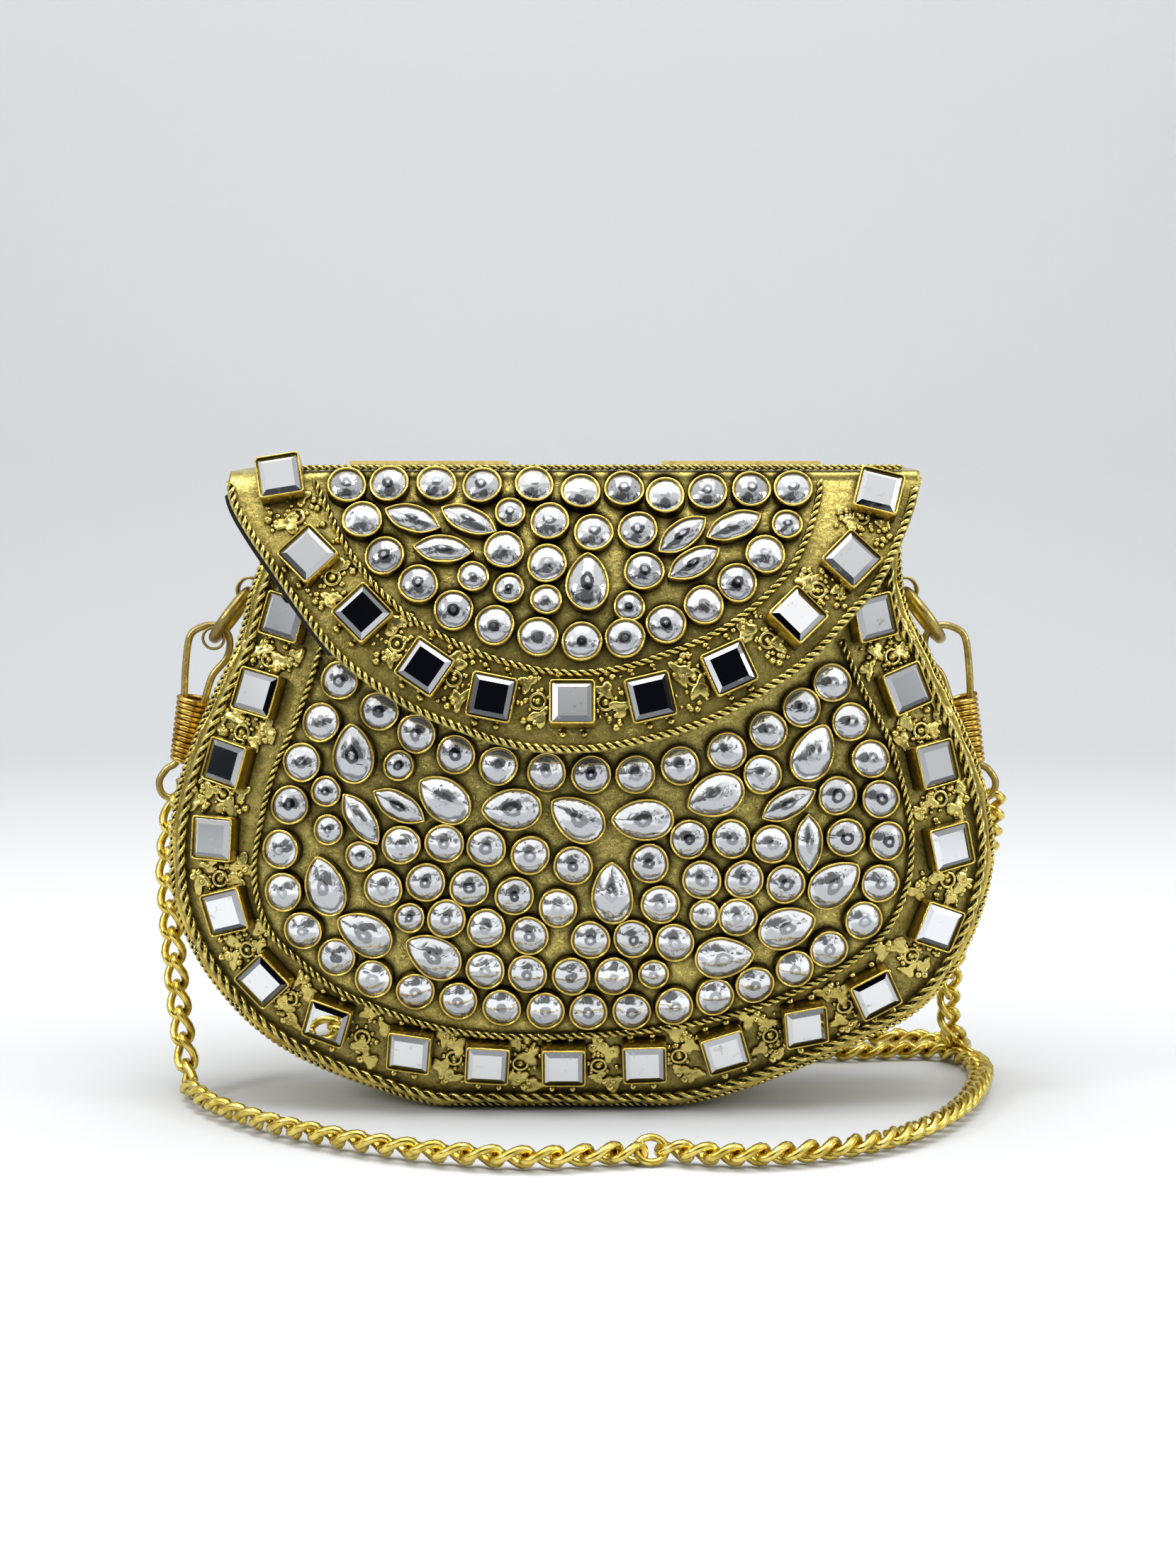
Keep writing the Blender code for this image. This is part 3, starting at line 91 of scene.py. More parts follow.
FLAP_EDGE = [(-81.6, 1.6), (-80.2, 8.0), (-75.8, 15.4), (-70.2, 23.2), (-64.4, 31.2),
             (-57.6, 40.0), (-49.8, 46.8), (-40.4, 52.8), (-29.6, 57.6), (-20.0, 60.9),
             (-11.6, 62.6), (-2.0, 62.9), (7.6, 62.0), (17.6, 59.8), (27.4, 56.7),
             (35.2, 52.8), (43.8, 47.7), (51.8, 41.7), (59.8, 33.2), (65.2, 27.4),
             (69.6, 20.2), (74.0, 10.4), (76.6, 1.8)]
FLAP_REAR_HALF = 71.0
BARREL_RADIUS = 1.7
ROPE_OUTER_RADIUS = 0.95
ROPE_EDGE_RADIUS = 1.2
ROPE_INNER_RADIUS = 0.9
ROPE_FLAP_RADIUS = 1.1
ROPE_TOP_RADIUS = 0.7
ROPE_TOP_BACK = 1.2
ROPE_EDGE_INSET = 2.2
ROPE_END_HEIGHT = 138.0
INNER_ROPE = [(-59.0, 110.5), (-61.9, 101.8), (-66.0, 91.0), (-70.7, 80.7), (-73.6, 70.0),
              (-75.4, 60.0), (-75.0, 52.0), (-71.8, 43.4), (-65.0, 37.0), (-57.4, 31.0),
              (-47.0, 26.4), (-34.5, 22.2), (-20.0, 20.2), (-4.0, 20.2), (12.8, 21.4),
              (26.8, 23.5), (39.5, 26.9), (51.5, 32.0), (61.8, 37.9), (69.6, 45.2),
              (73.6, 55.0), (74.4, 64.6), (73.0, 74.8), (68.6, 88.6), (62.4, 100.2),
              (58.0, 110.5)]
FLAP_INNER_ROPE = [(-61.4, 2.6), (-58.4, 8.4), (-54.8, 15.4), (-50.8, 21.4), (-45.4, 27.6),
                   (-38.9, 33.1), (-32.2, 36.9), (-24.0, 40.7), (-13.0, 44.0), (-2.0, 45.2),
                   (8.6, 44.0), (17.6, 41.2), (27.4, 37.3), (34.6, 33.0), (41.2, 27.6),
                   (46.8, 21.2), (50.6, 13.6), (52.8, 6.6), (53.4, 2.6)]
ROUND_ACROSS = 9.1
SMALL_ROUND_ACROSS = 7.2
CUP_RISE = 2.7
CUP_FOOT = 0.6
DROP_LENGTH = 14.2
DROP_WIDTH = 9.8
MARQUISE_LENGTH = 14.0
MARQUISE_WIDTH = 6.6
MIRROR_CUP = 10.2
MIRROR_CUP_RISE = 4.3
MIRROR_CHAMFER = 1.3
SEEN_RISE = 3.5
BODY_ROUNDS = [(-55.6, 101.9), (-59.9, 92.3), (-46.5, 95.0), (-37.9, 90.1), (-64.5, 83.1),
               (-29.1, 85.5), (-19.4, 82.7), (-8.6, 81.6), (1.4, 81.0), (11.4, 81.0),
               (21.5, 82.8), (32.0, 86.1), (41.3, 90.6), (49.2, 95.8), (56.2, 101.3),
               (60.6, 92.4), (40.1, 80.8), (65.2, 84.0), (57.4, 75.9), (67.4, 74.9),
               (-67.4, 73.4), (-69.4, 63.2), (-41.5, 64.8), (-31.7, 65.4), (-22.2, 64.4),
               (-12.4, 62.7), (-2.7, 60.3), (14.6, 60.8), (23.4, 66.2), (32.9, 66.2),
               (42.2, 64.9), (59.4, 66.2), (69.0, 65.2), (-69.0, 53.4), (-45.8, 54.9),
               (-36.0, 56.3), (-26.2, 55.2), (-16.0, 53.4), (-6.0, 50.6), (17.0, 51.3),
               (26.5, 57.0), (36.0, 57.0), (45.6, 55.7), (67.6, 55.4), (-31.4, 48.0),
               (-22.4, 45.7), (-12.6, 44.2), (1.4, 43.1), (10.9, 43.4), (20.4, 42.5),
               (34.7, 48.3), (-64.6, 44.5), (63.8, 46.7), (55.8, 40.4), (-22.8, 36.0),
               (-13.0, 35.0), (-3.1, 34.6), (6.6, 34.6), (-56.9, 38.3), (-48.4, 33.4),
               (-38.9, 30.7), (-28.9, 28.6), (-18.9, 27.0), (-9.0, 26.1), (0.8, 25.9),
               (10.6, 25.9), (20.4, 27.1), (29.7, 29.2), (38.8, 32.1), (47.9, 35.9)]
BODY_SMALL_ROUNDS = [(-42.1, 82.7), (-58.9, 76.7), (-58.3, 68.0), (-51.0, 61.9), (-39.8, 48.1),
                     (27.0, 48.8), (15.6, 35.1)]
BODY_DROPS = [(-52.4, 85.3, 95), (-59.2, 55.0, 105), (-50.2, 44.2, 152), (-34.6, 39.0, 152),
              (-31.8, 75.4, 143), (-16.7, 73.0, 180), (-1.9, 70.9, 144), (12.9, 70.6, 180),
              (29.2, 76.0, 202), (51.8, 85.5, 65), (57.0, 55.6, 39), (46.0, 45.6, 18),
              (31.7, 38.8, 6), (6.2, 53.9, 91)]
BODY_MARQUISES = [(-50.7, 70.7, 125), (-42.1, 73.6, 150), (46.0, 74.2, 27), (50.9, 65.0, 90)]
BODY_MIRRORS = [(-68.4, 115.9, -15), (-74.9, 98.7, -14), (-81.8, 82.6, -15), (-85.3, 65.3, -3),
                (-82.6, 48.4, 15), (-74.2, 32.3, 42), (-59.4, 22.7, -20), (-40.5, 15.9, -8),
                (-22.5, 13.1, -4), (-4.9, 12.5, 0), (13.7, 13.3, 2), (32.3, 16.0, 18),
                (50.9, 21.8, 10), (66.9, 29.2, 28), (81.4, 44.8, -20), (83.9, 63.4, 12),
                (79.9, 82.4, 12), (73.3, 99.6, 20), (65.7, 115.8, 12)]
FLAP_ROUNDS = [(-53.9, 146.0), (-44.2, 146.6), (-33.8, 146.6), (-23.1, 146.2), (-11.6, 146.4),
               (-1.0, 144.8), (8.8, 145.4), (18.2, 143.8), (27.8, 144.6), (37.4, 145.2),
               (47.0, 145.4), (-50.1, 138.2), (-7.8, 138.0), (1.8, 135.4), (11.9, 136.0),
               (-44.7, 130.3), (-18.2, 131.6), (-8.4, 128.6), (13.2, 126.8), (40.4, 130.6),
               (-37.2, 123.8), (34.0, 124.2), (-29.3, 118.2), (-20.0, 114.8), (-10.4, 112.3),
               (-0.6, 111.2), (9.0, 112.1), (18.2, 115.0), (26.6, 119.2)]
FLAP_SMALL_ROUNDS = [(-16.9, 140.0), (45.3, 137.2), (-24.9, 125.6), (-17.0, 122.9),
                     (-8.7, 120.3), (9.9, 118.9)]
FLAP_DROPS = [(0.6, 124.4, 90)]
FLAP_MARQUISES = [(-38.7, 138.6, -20), (-26.2, 138.3, -25), (-31.8, 131.8, -5), (21.8, 135.0, 37),
                  (33.6, 137.0, 23), (24.4, 128.6, 30)]
FLAP_MIRRORS = [(-69.1, 149.0, 10), (-61.9, 130.2, -45), (-49.8, 117.2, -45), (-35.4, 105.4, -34),
                (-20.6, 98.8, -11), (-2.8, 96.9, 0), (14.5, 98.8, 13), (31.9, 105.2, 24),
                (46.8, 116.2, -45), (59.6, 129.0, -45), (66.2, 144.2, -15)]
LUG_HEIGHT = 121.4
LUG_RADIUS = 3.2
LUG_WALL = 0.6
LUG_LENGTH = 4.4
RING_RADIUS = 6.8
RING_WIRE = 1.35
RING_LEAN = 37.0
CLIP_WIRE = 0.85
CLIP_LOOP = [(13.7, -32.0), (12.4, -29.0), (11.1, -25.6), (9.2, -20.2), (6.0, -16.4), (5.0, -12.8),
             (5.8, -9.9), (8.8, -8.3), (12.4, -9.1), (14.6, -11.4), (15.6, -18.0), (16.1, -25.4),
             (16.8, -33.0), (18.0, -40.4), (20.6, -42.6), (22.4, -45.6), (21.6, -48.6),
             (19.2, -49.4), (17.5, -47.4), (17.6, -45.0)]
SLEEVE_TOP = (13.7, -25.4)
SLEEVE_END = (17.3, -40.6)
SLEEVE_TOP_RADIUS = 4.15
SLEEVE_END_RADIUS = 2.6
TIE_RADIUS = 2.5
TIE_WIRE = 0.35
TIE_ASIDE = 2.2
SLEEVE_TURNS = 12
SLEEVE_WIRE = 0.66
CHAIN_LEFT_ROUTE = [(-98.4, 0.0, 70.6), (-99.0, 0.0, 64.0), (-99.9, 0.0, 56.0), (-99.6, 0.0, 47.0),
                    (-99.0, -0.2, 37.0), (-98.2, -0.4, 27.0), (-97.2, -0.8, 17.0),
                    (-96.0, -2.0, 8.4), (-94.2, -6.4, 2.6), (-91.0, -14.6, 1.5),
                    (-86.0, -23.6, 1.5), (-78.0, -34.0, 1.5), (-68.6, -43.6, 1.5),
                    (-58.6, -51.6, 1.5), (-47.8, -58.8, 1.5), (-37.6, -64.2, 1.5),
                    (-27.0, -68.2, 1.5), (-15.8, -70.8, 1.5), (-5.0, -70.6, 1.5),
                    (4.5, -68.0, 1.5)]
JOINING_LINK_PLACE = (11.4, -66.2, 1.3, 12.0)
CHAIN_RIGHT_ROUTE = [(18.4, -65.2, 1.5), (27.0, -68.4, 1.5), (37.0, -69.0, 1.5),
                     (50.0, -65.4, 1.5), (62.0, -58.8, 1.5), (72.4, -49.4, 1.5),
                     (81.4, -36.4, 1.5), (88.8, -21.0, 1.5), (94.4, -4.0, 1.5),
                     (97.8, 13.0, 1.5), (97.4, 27.0, 1.5), (91.0, 36.8, 1.5),
                     (80.0, 37.6, 1.5), (66.0, 35.6, 1.5), (40.0, 36.0, 1.5), (0.0, 36.6, 1.5),
                     (-40.0, 36.0, 1.5), (-56.0, 37.6, 1.5), (-64.0, 47.0, 1.5),
                     (-56.0, 57.2, 1.5), (-20.0, 58.6, 1.5), (20.0, 58.6, 1.5),
                     (46.0, 58.0, 2.2), (56.6, 51.4, 4.6), (55.6, 41.6, 4.8),
                     (44.0, 36.2, 4.7), (0.0, 36.6, 4.7), (-38.0, 36.4, 4.6),
                     (-50.6, 42.0, 3.0), (-50.6, 51.4, 3.2), (-38.0, 57.6, 4.6),
                     (0.0, 58.6, 4.7), (40.0, 58.6, 5.0), (60.0, 57.0, 4.4), (76.0, 54.0, 1.7),
                     (88.0, 50.6, 1.6), (95.6, 42.6, 2.6), (95.8, 35.0, 4.8), (93.2, 30.4, 8.6),
                     (91.8, 27.6, 16.0), (92.2, 25.6, 26.0), (93.6, 23.4, 36.0),
                     (95.6, 20.0, 46.6), (98.2, 14.0, 57.0), (98.2, 6.0, 66.0),
                     (97.8, 1.0, 72.2)]
GROUND_TO_BAND = 2.0 * ROPE_OUTER_RADIUS + SEAT
MOUTH_HEIGHT = GROUND_TO_BAND + BODY_HEIGHT
RIM_Y = -(GUSSET_DEPTH / 2 + SEAT + PANEL_SHEET)
FLAP_WALL = FLAP_SHEET + SEAT + FLAP_LINING
FLAP_TOP = MOUTH_HEIGHT + FLAP_CLEARANCE + FLAP_WALL
FLAP_FRONT_Y = RIM_Y - FLAP_CLEARANCE - FLAP_WALL
HINGE_Y = -RIM_Y + SEAT + BARREL_RADIUS

CENTRE = np.array([DOME_CENTRE[0], DOME_CENTRE[1] + GROUND_TO_BAND])
CAMERA_PLACE = (0.7, -562.0, 134.8)
CAMERA_PITCH = 6.05
LENS = 54.36
LINK_WIRE = 0.98
LINK_PITCH = {"left": 6.3, "right": 5.5}
LINK_HALF_WIDTH = 2.3
LINK_TWIST = 1.15                   # each link's plane turns by this to both sides of its middle
LINK_LEAN = math.radians(58.0)      # links on the floor in front stand on edge, leaning back
LINK_LIFT = (1.0, 1.7)              # of links behind the bag and in front, over the cord's middle
HANGING_ROLL = math.radians(62.0)   # hanging links turn their open side to the front
JOINING_LIFT = 2.2
JOINING_HALF_LENGTH = 3.3           # middle of its wire
JOINING_HALF_WIDTH = 2.8
JOINING_WIRE = 0.82
INTO_CLIP = 2.5                     # middle of the last link, from the strand's end at the clip
INTO_JOINING = 1.0
JOINING_SHIFT = 2.8


# Outlines and surfaces

def smooth_curve(points, steps):
    """Catmull-Rom curve: q(t) = (2b + (c-a)t + (2a-5b+4c-d)t^2 + (3b-a-3c+d)t^3) / 2."""
    p = np.array(points, float)
    p = np.vstack([2 * p[0] - p[1], p, 2 * p[-1] - p[-2]])
    t = np.linspace(0, 1, steps, endpoint=False)[:, None]
    a, b, c, d = (p[k:len(p) - 3 + k, None] for k in range(4))
    pieces = 0.5 * (2 * b + (c - a) * t + (2 * a - 5 * b + 4 * c - d) * t**2
                    + (3 * b - a - 3 * c + d) * t**3)
    return np.vstack([pieces.reshape(-1, p.shape[1]), p[-2]])


def even_points(curve, count):
    """`count` points at even distances along a curve."""
    along = np.concatenate([[0.0], np.cumsum(np.linalg.norm(np.diff(curve, axis=0), axis=1))])
    wanted = np.linspace(0.0, along[-1], count)
    return np.stack([np.interp(wanted, along, column) for column in curve.T], 1)


def length_of(curve):
    return float(np.linalg.norm(np.diff(curve, axis=0), axis=1).sum())


def unit(v):
    return v / np.linalg.norm(v, axis=-1, keepdims=True)


def band_line(count):
    """Outer face of the side band, from the mouth's left end round the base to its right end."""
    curve = smooth_curve(BAND_OUTLINE, 8)
    line = even_points(np.maximum(curve, [-999.0, 0.0]), count)
    return line + [0.0, GROUND_TO_BAND]


def outline_normals(line):
    """Unit normals of an outline in the XZ plane, pointing away from the bag's middle."""
    along = unit(np.gradient(line, axis=0))
    return np.stack([along[:, 1], -along[:, 0]], 1)


RAYS = band_line(600) - CENTRE
BEARING = np.unwrap(np.arctan2(RAYS[:, 1], RAYS[:, 0]))
REACH = np.hypot(RAYS[:, 0], RAYS[:, 1])


def reach_at(bearing):
    """Distance from the dome's middle to its rim in a direction; the mouth closes it straight."""
    turned = BEARING[0] + np.mod(bearing - BEARING[0], 2 * math.pi)
    mouth = (MOUTH_HEIGHT - CENTRE[1]) / np.maximum(np.sin(bearing), 1e-6)
    return np.where(turned > BEARING[-1], mouth, np.interp(turned, BEARING, REACH))


def dome(x, z):
    """Front panel: y = RIM_Y - DOME_RISE (1 - s^DOME_POWER), s the share of the way to the rim."""
    x, z = np.broadcast_arrays(np.asarray(x, float), np.asarray(z, float))
    dx, dz = x - CENTRE[0], z - CENTRE[1]
    share = np.clip(np.hypot(dx, dz) / reach_at(np.arctan2(dz, dx)), 0.0, 1.0)
    return np.stack([x, RIM_Y - DOME_RISE * (1.0 - share**DOME_POWER), z], -1)


def flap_bend(x):
    curl = np.clip((-x - 52.0) / 26.0, 0.0, 1.0)
    return FLAP_TOP_BEND + FLAP_LEFT_CURL * curl * curl


def flap_face_y(x, z):
    """The flap swells forward as it falls: swell = F (1 - (1 - fall)^2.2) (1 - 0.52 side^2.5)."""
    fall = np.clip((FLAP_TOP - FLAP_TOP_BEND - z) / FLAP_FALL, 0.0, 1.0)
    side = np.abs(x) / (0.5 * BODY_WIDTH)
    return FLAP_FRONT_Y - FLAP_FORWARD * (1.0 - (1.0 - fall)**2.2) * (1.0 - 0.52 * side**2.5)


def flap(x, drop):
    """The flap across x and down from its top edge: face, parabolic bend, and roof behind it."""
    x, drop = np.broadcast_arrays(np.asarray(x, float), np.asarray(drop, float))
    bend = flap_bend(x)
    t = np.clip((bend - drop) / (2 * bend), 0.0, 1.0)
    top_y = flap_face_y(x, FLAP_TOP)
    foot_y = flap_face_y(x, FLAP_TOP - bend)
    bent_y = (1 - t)**2 * foot_y + 2 * t * (1 - t) * top_y + t * t * (top_y + bend)
    bent_z = FLAP_TOP - (1 - t)**2 * bend
    on_face, on_roof = drop >= bend, drop <= -bend
    y = np.where(on_face, flap_face_y(x, FLAP_TOP - drop), np.where(on_roof, top_y - drop, bent_y))
    z = np.where(on_face, FLAP_TOP - drop, np.where(on_roof, FLAP_TOP, bent_z))
    return np.stack([x, y, z], -1)


def flap_seen(x, z):
    """The flap at a height on its front."""
    bend, below = flap_bend(x), FLAP_TOP - z
    drop = np.where(below >= bend, below, 2.0 * np.sqrt(np.maximum(bend * below, 0.0)) - bend)
    return flap(x, drop)


def flap_down(x, minus_drop):
    return flap(x, -minus_drop)


def frames(surface, x, z, step=0.4):
    """Foot, outward normal, across and up of a surface at many places at once."""
    across = unit(surface(x + step, z) - surface(x - step, z))
    up = surface(x, z + step) - surface(x, z - step)
    normal = unit(np.cross(across, up))
    return surface(x, z), normal, across, np.cross(normal, across)


def seats(surface, places):
    """Frames under stones whose crowns are seen at the places: each foot is stepped back."""
    x, z = places[:, 0], places[:, 1]
    foot_x, foot_z = x, z
    for _ in range(3):
        normal = frames(surface, foot_x, foot_z)[1]
        foot_x, foot_z = x - normal[:, 0] * SEEN_RISE, z - normal[:, 2] * SEEN_RISE
    return frames(surface, foot_x, foot_z)


# Meshes

def grid(rows, columns, closed=False):
    """Quads of a grid of points, stored row after row; closed joins its last column to its first."""
    r, c = np.meshgrid(np.arange(rows - 1), np.arange(columns if closed else columns - 1),
                       indexing="ij")
    d = (c + 1) % columns
    return np.stack([r * columns + c, r * columns + d, (r + 1) * columns + d,
                     (r + 1) * columns + c], -1).reshape(-1, 4)


def fan(start, count, apex):
    """Triangles from a closed ring of points to one point."""
    k = np.arange(count)
    return np.stack([start + k, start + (k + 1) % count, np.full(count, apex)], -1)


def add_piece(name, points, faces, material, body="bag", smooth=True, marks=None, uv=None,
              replaces=(), slot="antique_brass"):
    """A mesh piece from places in millimetres; marks are values kept on its points."""
    points = (np.asarray(points, float).reshape(-1, 3) + SHIFT) * MM
    mesh = bpy.data.meshes.new(name)
    mesh.from_pydata(points.tolist(), [], [face for group in faces for face in group.tolist()])
    mesh.polygons.foreach_set("use_smooth", np.full(len(mesh.polygons), smooth))
    for mark, values in (marks or {}).items():
        layer = mesh.attributes.new(mark, "FLOAT", "POINT")
        layer.data.foreach_set("value", np.asarray(values, np.float32).ravel())
    if uv is not None:
        loops = np.empty(len(mesh.loops), np.int32)
        mesh.loops.foreach_get("vertex_index", loops)
        layer = mesh.uv_layers.new(name="UVMap")
        layer.data.foreach_set("uv", np.asarray(uv, np.float32)[loops].ravel())
    mesh.update()
    piece = bpy.data.objects.new(name, mesh)
    bpy.context.scene.collection.objects.link(piece)
    mesh.materials.append(material)
    if body:
        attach(piece, body)
    if replaces:
        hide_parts(*replaces)
    return piece


def copies(template, faces, seat, turn=0.0, size=1.0):
    """A template of (across, up, out) points set on each seat, turned and sized one by one."""
    foot, normal, across, up = seat
    count = len(foot)
    turn = np.radians(np.broadcast_to(turn, count))[:, None]
    shape = np.broadcast_to(template, (count,) + template.shape[-2:])
    shape = shape * np.broadcast_to(size, count)[:, None, None]
    u = shape[..., 0] * np.cos(turn) - shape[..., 1] * np.sin(turn)
    v = shape[..., 0] * np.sin(turn) + shape[..., 1] * np.cos(turn)
    points = (foot[:, None] + across[:, None] * u[..., None] + up[:, None] * v[..., None]
              + normal[:, None] * shape[..., 2:])
    step = template.shape[-2] * np.arange(count)[:, None, None]
    return points.reshape(-1, 3), [(group[None] + step).reshape(-1, group.shape[1])
                                   for group in faces]


def joined(*shapes):
    """Several (points, faces) shapes as one."""
    points, faces, start = [], [], 0
    for shape_points, shape_faces in shapes:
        faces += [group + start for group in shape_faces]
        points.append(shape_points)
        start += len(shape_points)
    return np.vstack(points), faces


def rings_template(outline, rings):
    """Stacked rings (inset, height) of an outline about its middle, closed by a point."""
    far = np.linalg.norm(outline, axis=1, keepdims=True)
    layers = [np.column_stack([outline * (1 - np.minimum(inset / far, 0.97)),
                               np.full(len(outline), height)]) for inset, height in rings]
    return np.vstack(layers)


def tube(path, radius, around=10, closed=False, reference=(0.0, 1.0, 0.0)):
    """A wire: ring k is path[k] + radius (cos a side + sin a lift), side = along x reference."""
    path = np.asarray(path, float)
    if closed:
        along = unit(np.roll(path, -1, axis=0) - np.roll(path, 1, axis=0))
    else:
        along = unit(np.gradient(path, axis=0))
    side = unit(np.cross(along, np.broadcast_to(reference, path.shape)))
    lift = np.cross(side, along)
    a = np.arange(around) * 2 * math.pi / around
    ring = np.cos(a)[None, :, None] * side[:, None] + np.sin(a)[None, :, None] * lift[:, None]
    points = (path[:, None] + radius * ring).reshape(-1, 3)
    count = len(path)
    if closed:
        columns = np.arange(count * around).reshape(count, around)
        wrapped = np.vstack([columns, columns[:1]])
        index = wrapped.ravel()
        return points, [index[grid(count + 1, around, closed=True)]]
    points = np.vstack([points, path[0] - along[0] * radius * 0.5,
                        path[-1] + along[-1] * radius * 0.5])
    ends = [fan(0, around, count * around), fan((count - 1) * around, around, count * around + 1)]
    return points, [grid(count, around, closed=True), *ends]


def rope(path, out, radius, pitch, strands=2, around=8, per_turn=9):
    """Twisted wires: strand k runs at 0.54 R (cos a out + sin a side), a = 2 pi (s/pitch + k/n)."""
    length = length_of(path)
    count = int(length / pitch * per_turn)
    both = even_points(np.hstack([path, path + out]), count)
    path, out = both[:, :3], unit(both[:, 3:] - both[:, :3])
    along = unit(np.gradient(path, axis=0))
    side = unit(np.cross(along, out))
    out = np.cross(side, along)
    shapes, marks = [], []
    for k in range(strands):
        a = 2 * math.pi * (np.linspace(0, length / pitch, count) + k / strands)[:, None]
        middle = path + 0.54 * radius * (np.cos(a) * out + np.sin(a) * side)
        shape = tube(middle, 0.46 * radius, around,
                     reference=unit(path[-1] - path[0]) * 0.01 + (0, 1, 0))
        shapes.append(shape)
        ring = shape[0][:-2].reshape(count, around, 3)
        far = np.linalg.norm(ring - path[:, None], axis=2) / radius
        marks += [np.clip((far - 0.5) / 0.42, 0.0, 1.0).ravel(), [0.5, 0.5]]
    points, faces = joined(*shapes)
    return points, faces, np.concatenate(marks)


# Materials

def linear(code):
    """Hex sRGB to linear RGBA."""
    c = np.array([int(code[k:k + 2], 16) for k in (1, 3, 5)]) / 255.0
    c = np.where(c <= 0.04045, c / 12.92, ((c + 0.055) / 1.055)**2.4)
    return (*c.tolist(), 1.0)


def node(tree, kind, inputs=None, **settings):
    """One node; an input may be a value or another node's output."""
    item = tree.nodes.new(kind)
    for key, value in settings.items():
        setattr(item, key, value)
    for key, value in (inputs or {}).items():
        if isinstance(value, bpy.types.NodeSocket):
            tree.links.new(value, item.inputs[key])
        else:
            item.inputs[key].default_value = value
    return item


def new_material(name, **values):
    material = bpy.data.materials.new(name)
    material.use_nodes = True
    shader = material.node_tree.nodes["Principled BSDF"]
    for key, value in values.items():
        shader.inputs[key.replace("_", " ")].default_value = value
    return material, material.node_tree, shader


def link(tree, output, shader, name):
    tree.links.new(output, shader.inputs[name])


def mix(tree, share, low, high):
    """A colour between two, by a share."""
    item = node(tree, "ShaderNodeMix", {0: share, 6: low, 7: high}, data_type="RGBA")
    return item.outputs[2]


def spread(tree, value, low, high, to_low=0.0, to_high=1.0):
    item = node(tree, "ShaderNodeMapRange", {"Value": value, "From Min": low, "From Max": high,
                                             "To Min": to_low, "To Max": to_high})
    return item.outputs["Result"]


def math_node(tree, operation, a, b):
    return node(tree, "ShaderNodeMath", {0: a, 1: b}, operation=operation).outputs[0]


